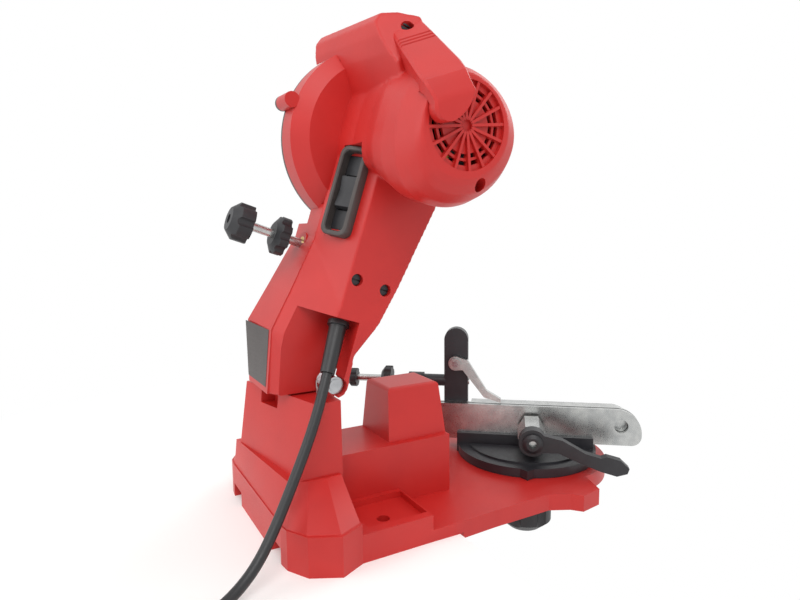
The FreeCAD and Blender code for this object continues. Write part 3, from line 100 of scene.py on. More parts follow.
@dataclass(frozen=True)
class Finish:
    """A surface with a mottled colour, an uneven gloss and a fine bump.

    Attributes:
        name: the material's name.
        colour: its main colour.
        other: the colour that it drifts to in patches.
        patch_mm: the size of the patches.
        drift: how far the patches reach towards the other colour.
        roughness: the middle roughness.
        gloss_change: how much the roughness wanders.
        metallic: one for bare metal.
        grain_mm: the size of the surface's fine texture.
        bump: the strength of the fine texture.
        depth_mm: the height of the fine texture.
    """

    name: str
    colour: str
    other: str
    patch_mm: float = 12.0
    drift: float = 0.5
    roughness: float = 0.5
    gloss_change: float = 0.08
    metallic: float = 0.0
    grain_mm: float = 0.6
    bump: float = 0.25
    depth_mm: float = 0.05

    def build(self) -> bpy.types.Material:
        """Make the material.

        Returns:
            The finished material.
        """
        material = bpy.data.materials.new(self.name)
        material.use_nodes = True
        tree = material.node_tree
        tree.nodes.clear()
        place = add_node(tree, "ShaderNodeTexCoord").outputs["Object"]
        patches = add_node(tree, "ShaderNodeTexNoise",
                           inputs={"Vector": place, "Scale": 1.0 / (self.patch_mm * MM), "Detail": 4.0})
        spread = add_node(tree, "ShaderNodeMapRange",
                          inputs={0: patches.outputs["Fac"], 1: 0.35, 2: 0.7, 3: 0.0, 4: self.drift})
        colour = add_node(tree, "ShaderNodeMix", {"data_type": "RGBA"},
                          {"Factor": spread.outputs[0], 6: linear(self.colour), 7: linear(self.other)})
        fine = add_node(tree, "ShaderNodeTexNoise",
                        inputs={"Vector": place, "Scale": 1.0 / (self.grain_mm * MM), "Detail": 2.0})
        smooth, rough = self.roughness - self.gloss_change, self.roughness + self.gloss_change
        gloss = add_node(tree, "ShaderNodeMapRange",
                         inputs={0: fine.outputs["Fac"], 1: 0.3, 2: 0.7, 3: smooth, 4: rough})
        relief = add_node(tree, "ShaderNodeBump",
                          inputs={"Strength": self.bump, "Distance": self.depth_mm * MM,
                                  "Height": fine.outputs["Fac"]})
        shader = add_node(tree, "ShaderNodeBsdfPrincipled",
                          inputs={"Base Color": colour.outputs[2], "Roughness": gloss.outputs[0],
                                  "Metallic": self.metallic, "Normal": relief.outputs[0]})
        add_node(tree, "ShaderNodeOutputMaterial", inputs={"Surface": shader.outputs[0]})
        return material


# ABS moulded in a spark-eroded tool: satin, faintly grained, deep red.
RED_ABS = Finish("moulded_red_abs", "#C22420", "#B41D1B", patch_mm=30.0, drift=0.6, roughness=0.42,
                 gloss_change=0.06, grain_mm=0.45, bump=0.22, depth_mm=0.05)
# Glass-filled nylon: nearly black, dull.
BLACK_NYLON = Finish("moulded_black_nylon", "#232326", "#2E2E31", patch_mm=9.0, drift=0.6, roughness=0.5,
                     gloss_change=0.08, grain_mm=0.5, bump=0.3, depth_mm=0.05)
# The guard's cover, the switch's frame and the label plate: dull brown-grey ABS.
GREY_ABS = Finish("moulded_grey_abs", "#4A4442", "#3E3937", patch_mm=14.0, drift=0.6, roughness=0.5,
                  gloss_change=0.08, grain_mm=0.5, bump=0.25, depth_mm=0.05)
# Powder coat on pressed steel: black with a fine orange peel.
POWDER_COAT = Finish("black_powder_coat", "#26262A", "#303034", patch_mm=10.0, drift=0.5, roughness=0.4,
                     gloss_change=0.06, grain_mm=1.1, bump=0.35, depth_mm=0.08)
# Zinc plate on cold-rolled steel: pale grey and cloudy.
ZINC = Finish("zinc_plated_steel", "#C3C4C2", "#A9ABAB", patch_mm=7.0, drift=0.9, roughness=0.3,
              gloss_change=0.09, metallic=1.0, grain_mm=0.5, bump=0.18, depth_mm=0.03)
# Bright turned or ground steel.
BRIGHT_STEEL = Finish("bright_steel", "#B7B8BA", "#9C9EA1", patch_mm=5.0, drift=0.5, roughness=0.24,
                      gloss_change=0.08, metallic=1.0, grain_mm=0.3, bump=0.15, depth_mm=0.02)
# Stacked laminations under varnish.
CORE_STEEL = Finish("varnished_core_steel", "#5B5A5C", "#4A494A", patch_mm=4.0, drift=0.6, roughness=0.45,
                    gloss_change=0.08, metallic=1.0, grain_mm=0.6, bump=0.3, depth_mm=0.05)
# Turned brass.
BRASS = Finish("turned_brass", "#C9A35A", "#B28B45", patch_mm=5.0, drift=0.5, roughness=0.28,
               gloss_change=0.07, metallic=1.0, grain_mm=0.3, bump=0.15, depth_mm=0.02)
# Fused alumina in a ceramic bond: pink-brown and gritty, drawn coarser than its grain so that it shows.
ALUMINA = Finish("pink_alumina", "#A9615A", "#7C4A45", patch_mm=0.9, drift=1.0, roughness=0.9,
                 gloss_change=0.05, grain_mm=0.5, bump=1.0, depth_mm=0.25)
# PVC sheath and boot of the lead.
PVC = Finish("black_pvc", "#1C1C1E", "#262628", patch_mm=8.0, drift=0.5, roughness=0.42,
             gloss_change=0.06, grain_mm=1.2, bump=0.15, depth_mm=0.04)


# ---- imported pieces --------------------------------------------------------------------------


@dataclass
class Dressing:
    """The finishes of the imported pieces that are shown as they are.

    Attributes:
        finishes: the pieces of each finish.
    """

    finishes: dict[Finish, tuple[str, ...]] = field(default_factory=lambda: {
        RED_ABS: ("base_housing", "head_shell_far"),
        GREY_ABS: ("guard_cover",),
        BLACK_NYLON: ("switch_body", "switch_rocker", "depth_knob", "depth_lock_nut", "cooling_fan",
                      "lock_knob", "clamp_lever", "lever_cap", "stop_knob", "stop_lock_nut"),
        POWDER_COAT: ("swivel_disc", "stop_bracket", "housing_screws"),
        ZINC: ("guard_screws", "depth_screw", "spindle_nut", "swivel_bolt", "swivel_washer",
               "rail_front", "rail_rear", "rail_backing", "rail_screws", "clamp_bolt", "clamp_post",
               "pawl_bush", "chain_pawl", "stop_screw"),
        BRIGHT_STEEL: ("hinge_pin", "hinge_retainers", "return_spring", "bearing_front", "bearing_rear",
                       "inner_flange", "outer_flange", "pawl_pin", "pawl_clip"),
        CORE_STEEL: ("motor_stator", "motor_armature"),
        BRASS: ("brush_holders", "depth_nut_insert"),
        ALUMINA: ("grinding_wheel",),
        PVC: ("strain_relief", "mains_plug"),
    })

    def dress(self) -> None:
        """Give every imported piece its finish."""
        for finish, nodes in self.finishes.items():
            material = finish.build()
            for node in nodes:
                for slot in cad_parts[node].material_slots:
                    slot.material = material
                log.info("%s: %s", node, finish.name)


# ---- shaping --------------------------------------------------------------------------------


# The head's sizes are in millimetres, in the arm's own frame: its origin on the hinge, X along the
# spindle, Y to the rear and Z along the arm. ARM_FRAME takes them to the model's metres.
HINGE_HEIGHT = 0.101
# At rest the arm leans back by this angle.
LEAN = math.radians(18.2)
ARM_FRAME = (Matrix.Translation((0.0, 0.0, HINGE_HEIGHT))
             @ Matrix.Rotation(LEAN, 4, "X") @ Matrix.Scale(MM, 4))
# The spindle's distance from the hinge along the arm.
SPINDLE = 162.7
# The switch sits on the arm's rear face, which turns away to the near side by 17 mm over 33 mm.
SWITCH_SEAT = (Matrix.Translation((-28.0, 19.76, SPINDLE - 43.2))
               @ Matrix.Rotation(math.atan2(17.0, 33.0), 4, "Z"))
# Edges that bend by more than this stay sharp.
CREASE = math.radians(35)


def choose(items: list[bpy.types.Object]) -> None:
    """Select some objects, the first of them as the active one.

    Args:
        items: the objects.
    """
    bpy.ops.object.select_all(action="DESELECT")
    for item in items:
        item.select_set(True)
    bpy.context.view_layer.objects.active = items[0]


def loft(name: str, rings: list[list[Point]]) -> bpy.types.Object:
    """Join closed rings of points into one closed mesh.

    Args:
        name: the object's name.
        rings: rings with as many points each, from one end to the other.

    Returns:
        The new object, with its place in its mesh.
    """
    mesh = bpy.data.meshes.new(name)
    shape = bmesh.new()
    rows = [[shape.verts.new(point) for point in ring] for ring in rings]
    count = len(rows[0])
    for low, high in zip(rows, rows[1:]):
        for index in range(count):
            after = (index + 1) % count
            shape.faces.new((low[index], low[after], high[after], high[index]))
    shape.faces.new(list(reversed(rows[0])))
    shape.faces.new(rows[-1])
    bmesh.ops.recalc_face_normals(shape, faces=shape.faces)
    shape.to_mesh(mesh)
    shape.free()
    item = bpy.data.objects.new(name, mesh)
    bpy.context.collection.objects.link(item)
    return item


def rod(radius: float, start: Point, end: Point, sides: int = 40) -> bpy.types.Object:
    """Make a closed cylinder between two points.

    Args:
        radius: its radius.
        start: the middle of its first end.
        end: the middle of its other end.
        sides: the number of its sides.

    Returns:
        The new object.
    """
    first, last = Vector(start), Vector(end)
    turn = (last - first).to_track_quat("Z", "Y").to_matrix()
    angles = [2 * math.pi * side / sides for side in range(sides)]
    ring = [turn @ Vector((radius * math.cos(angle), radius * math.sin(angle), 0.0)) for angle in angles]
    return loft("rod", [[tuple(first + point) for point in ring], [tuple(last + point) for point in ring]])


def block(low: Point, high: Point, turn: Matrix | None = None) -> bpy.types.Object:
    """Make a closed box.

    Args:
        low: its corner with the least X, Y and Z.
        high: the opposite corner.
        turn: what turns and moves it afterwards.

    Returns:
        The new object.
    """
    corners = [(low[0], low[1]), (high[0], low[1]), (high[0], high[1]), (low[0], high[1])]
    item = loft("block", [[(x, y, z) for x, y in corners] for z in (low[2], high[2])])
    if turn is not None:
        item.data.transform(turn)
    return item


def join(items: list[bpy.types.Object]) -> bpy.types.Object:
    """Join objects into the first of them.

    Args:
        items: the objects.

    Returns:
        The first object, which now holds all of them.
    """
    choose(items)
    bpy.ops.object.join()
    return items[0]


def modify(item: bpy.types.Object, kind: str, settings: dict) -> None:
    """Add one modifier to an object and apply it.

    Args:
        item: the object.
        kind: the modifier's type name.
        settings: the modifier's properties.
    """
    choose([item])
    modifier = item.modifiers.new(kind.lower(), kind)
    for name, value in settings.items():
        setattr(modifier, name, value)
    bpy.ops.object.modifier_apply(modifier=modifier.name)


def trim(item: bpy.types.Object, point: Vector, normal: Vector) -> None:
    """Cut off the part of an object that lies beyond a plane.

    Args:
        item: the object.
        point: a point on the plane.
        normal: the way to the part that goes.
    """
    choose([item])
    bpy.ops.object.mode_set(mode="EDIT")
    bpy.ops.mesh.select_all(action="SELECT")
    bpy.ops.mesh.bisect(plane_co=point, plane_no=normal, use_fill=True, clear_outer=True)
    bpy.ops.object.mode_set(mode="OBJECT")


def carve(item: bpy.types.Object, tools: list[bpy.types.Object]) -> None:
    """Cut tools out of an object, one after the other.

    Args:
        item: the object.
        tools: the closed shapes to cut out, which are deleted.
    """
    for tool in tools:
        modify(item, "BOOLEAN", {"operation": "DIFFERENCE", "object": tool, "solver": "EXACT"})
        bpy.data.objects.remove(tool)


def soften(item: bpy.types.Object) -> None:
    """Shade an object smoothly between its creases."""
    choose([item])
    bpy.ops.object.shade_smooth_by_angle(angle=CREASE)


# ---- head housing ---------------------------------------------------------------------------


@dataclass(frozen=True)
class Station:
    """One cross-section of neck or drum, square to the spindle.

    Attributes:
        x: its place along the spindle.
        rear: its reach to the rear.
        front: its reach to the front.
        top: its reach upwards.
        bottom: its reach downwards.
        fullness: 2 for an ellipse, more for a box with round corners.
    """

    x: float
    rear: float
    front: float
    top: float
    bottom: float
    fullness: float

    def ring(self, sides: int = 72) -> list[Point]:
        """Draw the section's outline.

        Args:
            sides: the number of points.

        Returns:
            A ring of points.
        """
        points = []
        for index in range(sides):
            angle = 2 * math.pi * index / sides
            y, z = math.cos(angle), math.sin(angle)
            wide = self.rear if y > 0 else self.front
            high = self.top if z > 0 else self.bottom
            power = 2.0 / self.fullness
            points.append((self.x, math.copysign(wide * abs(y) ** power, y),
                           SPINDLE + math.copysign(high * abs(z) ** power, z)))
        return points


# The neck starts as a box on the guard's plate and swells into the drum, which closes round the vents.
NECK_AND_DRUM = (
    Station(x=-9.0, rear=31.0, front=36.0, top=40.0, bottom=27.0, fullness=3.6),
    Station(x=-30.0, rear=28.0, front=36.0, top=39.0, bottom=27.0, fullness=3.4),
    Station(x=-50.0, rear=28.8, front=38.0, top=38.0, bottom=30.0, fullness=3.0),
    Station(x=-62.0, rear=30.3, front=40.5, top=37.5, bottom=36.5, fullness=2.7),
    Station(x=-74.0, rear=30.3, front=43.0, top=37.0, bottom=42.0, fullness=2.4),
    Station(x=-88.0, rear=29.6, front=44.3, top=36.0, bottom=44.5, fullness=2.1),
    Station(x=-97.0, rear=28.0, front=43.2, top=34.0, bottom=42.5, fullness=2.0),
    Station(x=-104.0, rear=26.8, front=39.0, top=31.2, bottom=38.0, fullness=2.0),
    Station(x=-107.5, rear=26.0, front=33.0, top=28.5, bottom=33.5, fullness=2.0),
    Station(x=-109.0, rear=25.5, front=30.5, top=27.2, bottom=29.5, fullness=2.0),
)


@dataclass
class Strap:
    """The strap from the grip's near end down over the drum's edge, round at both ends.

    Attributes:
        screw: the screw hole in its upper end.
        knee: where it bends down over the drum's end.
        tip: the middle of its round lower end.
        width_way: the way of its width, from its rear edge to its front edge.
        top_round: the radius of its upper end.
        tip_round: the radius of its lower end.
        grooves: where its three grooves are, from the screw hole.
        groove_depth: how deep they are.
        groove_half: half of a groove's width.
        edge: the width of its bevelled edges.
        depth: how far it reaches into the grip and the drum.
        tip_depth: the same at its tip.
        bend_before: how far before the knee the bend starts.
        bend_length: the length of the bend.
        hole: the radius of the screw hole.
    """

    screw: Point = (-62.0, 26.7, SPINDLE + 55.1)
    knee: Point = (-112.5, 20.6, SPINDLE + 18.4)
    tip: Point = (-117.0, 13.4, SPINDLE + 9.2)
    width_way: Point = (-0.355, -0.751, 0.557)
    top_round: float = 10.5
    tip_round: float = 13.5
    grooves: tuple[float, ...] = (13.0, 16.5, 20.0)
    groove_depth: float = 0.9
    groove_half: float = 0.6
    edge: float = 1.4
    depth: float = 14.0
    tip_depth: float = 7.0
    bend_before: float = 12.0
    bend_length: float = 20.0
    hole: float = 3.9

    def look(self) -> Vector:
        """The way that the strap's straight part faces."""
        along = Vector(self.knee) - Vector(self.screw)
        return along.cross(Vector(self.width_way)).normalized()

    def straight(self) -> float:
        """The distance from the screw hole to the knee."""
        return (Vector(self.knee) - Vector(self.screw)).length

    def length(self) -> float:
        """The distance from the screw hole over the knee to the tip."""
        return self.straight() + (Vector(self.tip) - Vector(self.knee)).length

    def section(self, reach: float) -> list[Point]:
        """Draw one section of the strap.

        Args:
            reach: the distance from the screw hole along the strap.

        Returns:
            The section's corners, from one edge over the face to the other edge.
        """
        screw, knee, tip = Vector(self.screw), Vector(self.knee), Vector(self.tip)
        straight, length = self.straight(), self.length()
        flat = min(max((reach - straight + self.bend_before) / self.bend_length, 0.0), 1.0)
        centre = screw + (knee - screw).normalized() * min(reach, straight)
        centre += (tip - knee).normalized() * min(max(reach - straight, 0.0), length - straight)
        down = Vector((0.0, knee.y - screw.y, knee.z - screw.z)).normalized()
        centre += down * max(reach - length, 0.0)
        across = Vector((self.width_way[0] * (1 - flat), self.width_way[1], self.width_way[2])).normalized()
        face = (self.look() * (1 - flat) + Vector((-1.0, 0.0, 0.0)) * flat).normalized()
        share = min(max(reach / length, 0.0), 1.0)
        wide = self.top_round + (self.tip_round - self.top_round) * share
        past = max(-reach, reach - length, 0.0)
        wide = math.sqrt(max(wide ** 2 - past ** 2, 0.25))
        in_groove = min(abs(reach - place) for place in self.grooves) < self.groove_half
        groove = self.groove_depth if in_groove else 0.0
        edge = min(self.edge, wide * 0.5)
        deep = self.depth + (self.tip_depth - self.depth) * flat
        outline = [(-wide, deep), (-wide, edge), (edge - wide, groove),
                   (wide - edge, groove), (wide, edge), (wide, deep)]
        return [tuple(centre + across * side - face * depth) for side, depth in outline]

    def hole_tool(self, out: float) -> bpy.types.Object:
        """Make the cylinder that cuts the screw hole, starting so far out of the face."""
        middle, look = Vector(self.screw), self.look()
        return rod(self.hole, tuple(middle + look * out), tuple(middle - look * 9))

    def build(self) -> bpy.types.Object:
        """Make the strap from sections that lie closer in its round ends and grooves.

        Returns:
            The strap, with its screw hole.
        """
        length = self.length()
        stops = [-self.top_round * math.cos(math.radians(angle)) for angle in range(0, 90, 10)]
        for place in self.grooves:
            stops += [place - 0.9, place - 0.5, place + 0.5, place + 0.9]
        stops += [length * step / 24 for step in range(8, 24)]
        stops += [length + self.tip_round * math.sin(math.radians(angle)) for angle in range(0, 91, 9)]
        item = loft("strap", [self.section(reach) for reach in stops])
        carve(item, [self.hole_tool(2)])
        return item


@dataclass
class Grille:
    """The vented end: a plate with two rings of slots under radial ribs.

    Attributes:
        radius: its radius.
        shift: how far its middle lies in front of the spindle's axis.
        rib_count: the number of ribs.
        rib_half: half of a rib's width.
        slot_rows: for each ring of slots, its share of the radius and half of a slot's width.
        slot_half: half of a slot's height.
    """

    radius: float = 24.6
    shift: float = -2.5
    rib_count: int = 16
    rib_half: float = 0.8
    slot_rows: tuple[tuple[float, float], ...] = ((0.66, 2.3), (0.82, 3.0))
    slot_half: float = 1.2

    def build(self) -> bpy.types.Object:
        """Make the plate, cut its slots and lay the ribs over it.

        Returns:
            The grille, in its place.
        """
        plate = rod(self.radius + 1.5, (-106.6, 0, 0), (-104.4, 0, 0), 72)
        slots, ribs = [], []
        for index in range(self.rib_count):
            turn = Matrix.Rotation(2 * math.pi * index / self.rib_count, 4, "X")
            step = turn @ Matrix.Rotation(math.pi / self.rib_count, 4, "X")
            ribs.append(block((-108.6, -self.rib_half, 3.0),
                              (-106.0, self.rib_half, self.radius + 0.6), turn))
            for share, wide in self.slot_rows:
                middle = self.radius * share
                low, high = middle - self.slot_half, middle + self.slot_half
                slots.append(block((-108, -wide, low), (-103, wide, high), step))
        carve(plate, [join(slots)])
        vents = join([plate] + ribs)
        vents.data.transform(Matrix.Translation((0.0, self.shift, SPINDLE)))
        return vents


@dataclass
class HeadHousing:
    """The near half of the head as one soft moulding: arm, neck, drum, grip, strap and grille.

    Attributes:
        strap: the strap over the drum's edge.
        grille: the vented end.
        voxel: the cell size in which arm, neck, drum and grip are blended.
        smoothing: how far one pass of smoothing moves a point towards its neighbours' middle.
        smooth_passes: the number of passes.
        kept_faces: the share of the blended faces that is kept.
        screw_hole: the radius of the screw holes.
        wheel_room: the radius that is left free for the wheel.
        guard_room: the radius that is left free for the guard.
        swing: the positions of the arm, in degrees, at which the hinge's lug stays clear.
    """

    strap: Strap = field(default_factory=Strap)
    grille: Grille = field(default_factory=Grille)
    voxel: float = 0.9
    smoothing: float = 0.5
    smooth_passes: int = 6
    kept_faces: float = 0.35
    screw_hole: float = 3.9
    wheel_room: float = 58.4
    guard_room: float = 62.3
    swing: tuple[float, ...] = (0, 35, 70)

    def arm(self) -> bpy.types.Object:
        """Make the near half of the arm, its rear face stepping back towards the near side.

        Returns:
            The arm, from its outline at the parting plane to the one on its near side.
        """
        front = [(-6, 21), (-17, 44), (-23, 68), (-34.5, 126), (-36, 175)]
        foot = [(-2.4, -7.2), (-6.1, -4.6), (-7.6, 0)]
        parting_rear = [(29, 182), (29, 88), (35.5, 49), (40.5, 23), (31, -18.2)]
        near_rear = [(12, 182), (12, 88), (12, 49), (17.5, 23), (14.5, -12.8)]
        parting = [(-10.0, y, z) for y, z in parting_rear + foot + front]
        near = [(-45.0, y, z) for y, z in near_rear + foot + front]
        return loft("arm", [parting, near])

    def grip(self) -> bpy.types.Object:
        """Make the grip: a thick rounded block that leans forward towards its near end.

        Returns:
            The grip, cut off along the strap's front edge and where the strap lies on it.
        """
        rear = [(20, 10), (31, 17), (37, 26), (44, 36), (49, 46), (51, 54), (48.5, 60.5)]
        top = [(39.5, 64.2), (22, 65.2), (7, 60)]
        front = [(-2, 46), (0, 10)]
        rings = []
        for x, forward, down in ((25.5, 0.0, 0.0), (-70.0, 9.5, 0.5)):
            rings.append([(x, y - forward, SPINDLE + z - down) for y, z in rear + top + front])
        item = loft("grip", rings)
        middle, across = Vector(self.strap.screw), Vector(self.strap.width_way)
        trim(item, middle, Vector((-0.8, 0.5, 0.33)))
        trim(item, middle + across * (self.strap.top_round - 0.5), across)
        return item

    def tools(self) -> list[bpy.types.Object]:
        """Make what the housing leaves free.

        Returns:
            The closed shapes to cut out.
        """
        hole, shift = self.screw_hole, self.grille.shift
        turns = [Matrix.Rotation(-LEAN - math.radians(turn), 4, "X") for turn in self.swing]
        return [
            # The motor's room behind the vents.
            rod(self.grille.radius, (-118, shift, SPINDLE), (-60, shift, SPINDLE), 72),
            # The strap's screw.
            self.strap.hole_tool(9),
            # The wheel's room and the guard's, under the far end of the grip.
            rod(self.wheel_room, (-8.5, 0, SPINDLE), (12, 0, SPINDLE), 72),
            rod(self.guard_room, (12, 0, SPINDLE), (30, 0, SPINDLE), 72),
            # The screws in the drum and in the arm's near side.
            rod(hole, (-120, -22.5, SPINDLE - 27.0), (-97, -22.5, SPINDLE - 27.0)),
            rod(hole, (-60, 6.4, 67.4), (-36, 6.4, 67.4)),
            rod(hole, (-60, -14.5, 66.0), (-36, -14.5, 66.0)),
            # The switch and its frame.
            block((-8.3, -15.3, -24.3), (8.3, 6, 24.3), SWITCH_SEAT),
            block((-10.8, 0.0, -29.3), (10.8, 30, 29.3), SWITCH_SEAT),
            # The recess where the lead comes out.
            block((-46, -3, -28), (-20, 42, 42)),
            # The hinge's lug, its pin and the spring.
            rod(11.8, (-13.8, 0, 0), (13.8, 0, 0)),
            rod(6.4, (-46, 0, 0), (-20, 0, 0)),
            rod(10.8, (-31, 0, 0), (-20, 0, 0)),
            # The pocket for the stop tower.
            block((-29, -54, 39), (20, -14, 95)),
        ] + [block((-13.8, -11.8, -24), (13.8, 11.8, 0), turn) for turn in turns]

    def build(self) -> None:
        """Blend the pieces, cut the recesses and put the housing in the place of the plain one."""
        item = join([self.arm(), loft("drum", [station.ring() for station in NECK_AND_DRUM]), self.grip()])
        modify(item, "REMESH", {"mode": "VOXEL", "voxel_size": self.voxel})
        modify(item, "SMOOTH", {"factor": self.smoothing, "iterations": self.smooth_passes})
        modify(item, "DECIMATE", {"ratio": self.kept_faces})
        carve(item, self.tools())
        item = join([item, self.strap.build(), self.grille.build()])
        item.name = "head_housing"
        item.data.transform(ARM_FRAME)
        item.data.materials.append(RED_ABS.build())
        soften(item)
        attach(item, "head")
        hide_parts("head_shell_near")
        log.info("head housing: %d faces", len(item.data.polygons))


@dataclass
class SwitchBezel:
    """The raised frame round the switch's well: two round-cornered tubes, one inside the other.

    Attributes:
        half_wide: half of its outer width.
        half_high: half of its outer height.
        rise: how far it stands out of the arm.
        rim: the width of its rim.
        corner: the radius of its outer corners.
    """

    half_wide: float = 10.6
    half_high: float = 29.0
    rise: float = 7.0
    rim: float = 3.2
    corner: float = 5.5

    def outline(self, inset: float, out: float) -> list[Point]:
        """Draw a round-cornered ring.

        Args:
            inset: how much smaller it is than the frame.
            out: how far it lies out of the arm.

        Returns:
            A ring of points.
        """
        corner = self.corner - inset * 0.6
        wide, high = self.half_wide - inset - corner, self.half_high - inset - corner
        ring = []
        for quarter, (x, z) in enumerate(((wide, high), (-wide, high), (-wide, -high), (wide, -high))):
            for step in range(7):
                angle = math.radians(90 * quarter + 15 * step)
                ring.append((x + corner * math.cos(angle), out, z + corner * math.sin(angle)))
        return ring

    def build(self) -> None:
        """Make the frame and put it in the place of the plain one."""
        outer = loft("switch_frame", [self.outline(0.0, 0.05), self.outline(0.0, self.rise - 1.2),
                                      self.outline(0.4, self.rise - 0.4), self.outline(1.2, self.rise)])
        well = loft("well", [self.outline(self.rim, -1.0), self.outline(self.rim, self.rise - 0.8),
                             self.outline(self.rim - 1.0, self.rise + 0.6)])
        carve(outer, [well])
        outer.data.transform(ARM_FRAME @ SWITCH_SEAT)
        outer.data.materials.append(GREY_ABS.build())
        soften(outer)
        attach(outer, "head")
        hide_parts("switch_bezel")
        log.info("switch frame: %d faces", len(outer.data.polygons))


@dataclass
class LabelPlate:
    """The bare dark plate on the arm's lower rear face, which winds a little as the arm does.

    Attributes:
        far: its far edge along the spindle's way.
        near: its near edge.
        low: its lower edge along the arm, with the arm's rear face there at the far and the near edge.
        high: its upper edge along the arm, likewise.
        thick: how far it stands out of the arm.
        steps: the number of strips from low to high.
    """

    far: float = 29.5
    near: float = -8.5
    low: Point = (-14.5, 32.2, 31.7)
    high: Point = (22.0, 44.6, 39.9)
    thick: float = 0.4
    steps: int = 12

    def build(self) -> None:
        """Make the plate and let it ride on the arm."""
        rings = []
        for step in range(self.steps + 1):
            z, far, near = Vector(self.low).lerp(Vector(self.high), step / self.steps)
            rings.append([(self.far, far + self.thick, z), (self.near, near + self.thick, z),
                          (self.near, near - self.thick, z), (self.far, far - self.thick, z)])
        plate = loft("label_plate", rings)
        plate.data.transform(ARM_FRAME)
        plate.data.materials.append(GREY_ABS.build())
        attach(plate, "head")
        log.info("label plate: %d faces", len(plate.data.polygons))


# ---- mains lead -----------------------------------------------------------------------------


@dataclass
class MainsLead:
    """The lead from the boot to the plug, its spare length wound into a round coil.

    Attributes:
        diameter: the lead's thickness.
        route: the free run from the boot to the coil.
        tail: the free run from the coil to the plug.
        coil_middle: the coil's centre, in plan.
        coil_inner: the radius of the coil's hole.
        turns_across: turns side by side in one layer.
        turn_points: points in one turn.
        layer_rise: the height of one layer over the next, in diameters.
        length: the lead's whole length; not used.
    """

    diameter: float = 0.0065
    route: tuple[Point, ...] = (
        (-0.0442, 0.0063, 0.1104),
        (-0.0492, 0.0124, 0.0970),
        (-0.0534, 0.0194, 0.0825),
        (-0.0570, 0.0270, 0.0680),
        (-0.0630, 0.0390, 0.0485),
        (-0.0690, 0.0510, 0.0300),
        (-0.0760, 0.0640, 0.0150),
        (-0.0840, 0.0800, 0.0060),
        (-0.0940, 0.0990, 0.0034),
        (-0.1060, 0.1200, 0.0034),
        (-0.1180, 0.1400, 0.0034),
    )
    tail: tuple[Point, ...] = (
        (-0.2063, 0.1395, 0.0034),
        (-0.2160, 0.1220, 0.0034),
        (-0.2200, 0.1030, 0.0034),
        (-0.2180, 0.0840, 0.0034),
    )
    coil_middle: tuple[float, float] = (-0.1618, 0.1137)
    coil_inner: float = 0.028
    turns_across: int = 3
    turn_points: int = 16
    layer_rise: float = 1.02
    length: float = 1.77

    def coil_points(self) -> list[Point]:
        """Work out the coil's turns: inwards on the bottom layer, outwards on the next, and one on top.

        Returns:
            The points from the end of the route to the start of the tail.
        """
        start = math.atan2(self.route[-1][1] - self.coil_middle[1], self.route[-1][0] - self.coil_middle[0])
        end = math.atan2(self.tail[0][1] - self.coil_middle[1], self.tail[0][0] - self.coil_middle[0])
        turns = 2 * self.turns_across + (end - start) / (2 * math.pi)
        outer = self.coil_inner + (self.turns_across - 0.5) * self.diameter
        inner = self.coil_inner + 0.5 * self.diameter
        count = round(turns * self.turn_points)
        points = []
        for index in range(1, count):
            done = index / self.turn_points
            angle = start + 2 * math.pi * done
            inwards = min(done, 2 * self.turns_across - done) / self.turns_across
            reach = outer + (inner - outer) * max(0.0, min(1.0, inwards))
            # The lead climbs to the second layer in about half a turn and comes down in the last third.
            rise = max(0.0, min(1.0, 1.6 * (done - self.turns_across + 0.3)))
            fall = max(0.0, min(1.0, 3.0 * (turns - done)))
            low = self.route[-1][2] + rise * fall * self.diameter * self.layer_rise
            points.append((self.coil_middle[0] + reach * math.cos(angle),
                           self.coil_middle[1] + reach * math.sin(angle), low))
        return points

    def build(self) -> None:
        curve = bpy.data.curves.new("mains_lead", "CURVE")
        curve.dimensions = "3D"
        points = [*self.route, *self.coil_points(), *self.tail]
        spline = curve.splines.new("NURBS")
        spline.points.add(len(points) - 1)
        for knot, point in zip(spline.points, points):
            knot.co = (*point, 1.0)
        spline.order_u = 3
        spline.use_endpoint_u = True
        spline.resolution_u = 6
        curve.bevel_depth = self.diameter / 2
        curve.bevel_resolution = 5
        curve.use_fill_caps = True
        drawn = bpy.data.objects.new("lead_curve", curve)
        bpy.context.collection.objects.link(drawn)
        tube = bpy.data.meshes.new_from_object(drawn.evaluated_get(bpy.context.evaluated_depsgraph_get()))
        # Without its thickness the same curve gives the line that the tube follows.
        curve.bevel_depth = 0.0
        line = bpy.data.meshes.new_from_object(drawn.evaluated_get(bpy.context.evaluated_depsgraph_get()))
        bpy.data.objects.remove(drawn)
        lead = bpy.data.objects.new("mains_lead", tube)
        bpy.context.collection.objects.link(lead)
        tube.materials.clear()
        tube.materials.append(PVC.build())
        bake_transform(lead)
        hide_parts("mains_cord", "cord_coil")
        log.info("mains lead: %d points", len(points))


# ---- studio ---------------------------------------------------------------------------------


@dataclass(frozen=True)
class Lamp:
    """One square soft lamp.

    Attributes:
        name: its name.
        place: where it hangs.
        target: the point that it faces.
        side: the length of its side.
        power: its power in watts.
    """

    name: str
    place: Point
    target: Point
    side: float
    power: float

    def build(self) -> None:
        """Hang the lamp."""
        data = bpy.data.lights.new(self.name, "AREA")
        data.size = self.side
        data.energy = self.power
        item = bpy.data.objects.new(self.name, data)
        bpy.context.collection.objects.link(item)
        item.location = self.place
        item.rotation_euler = (Vector(self.target) - Vector(self.place)).to_track_quat("-Z", "Y").to_euler()


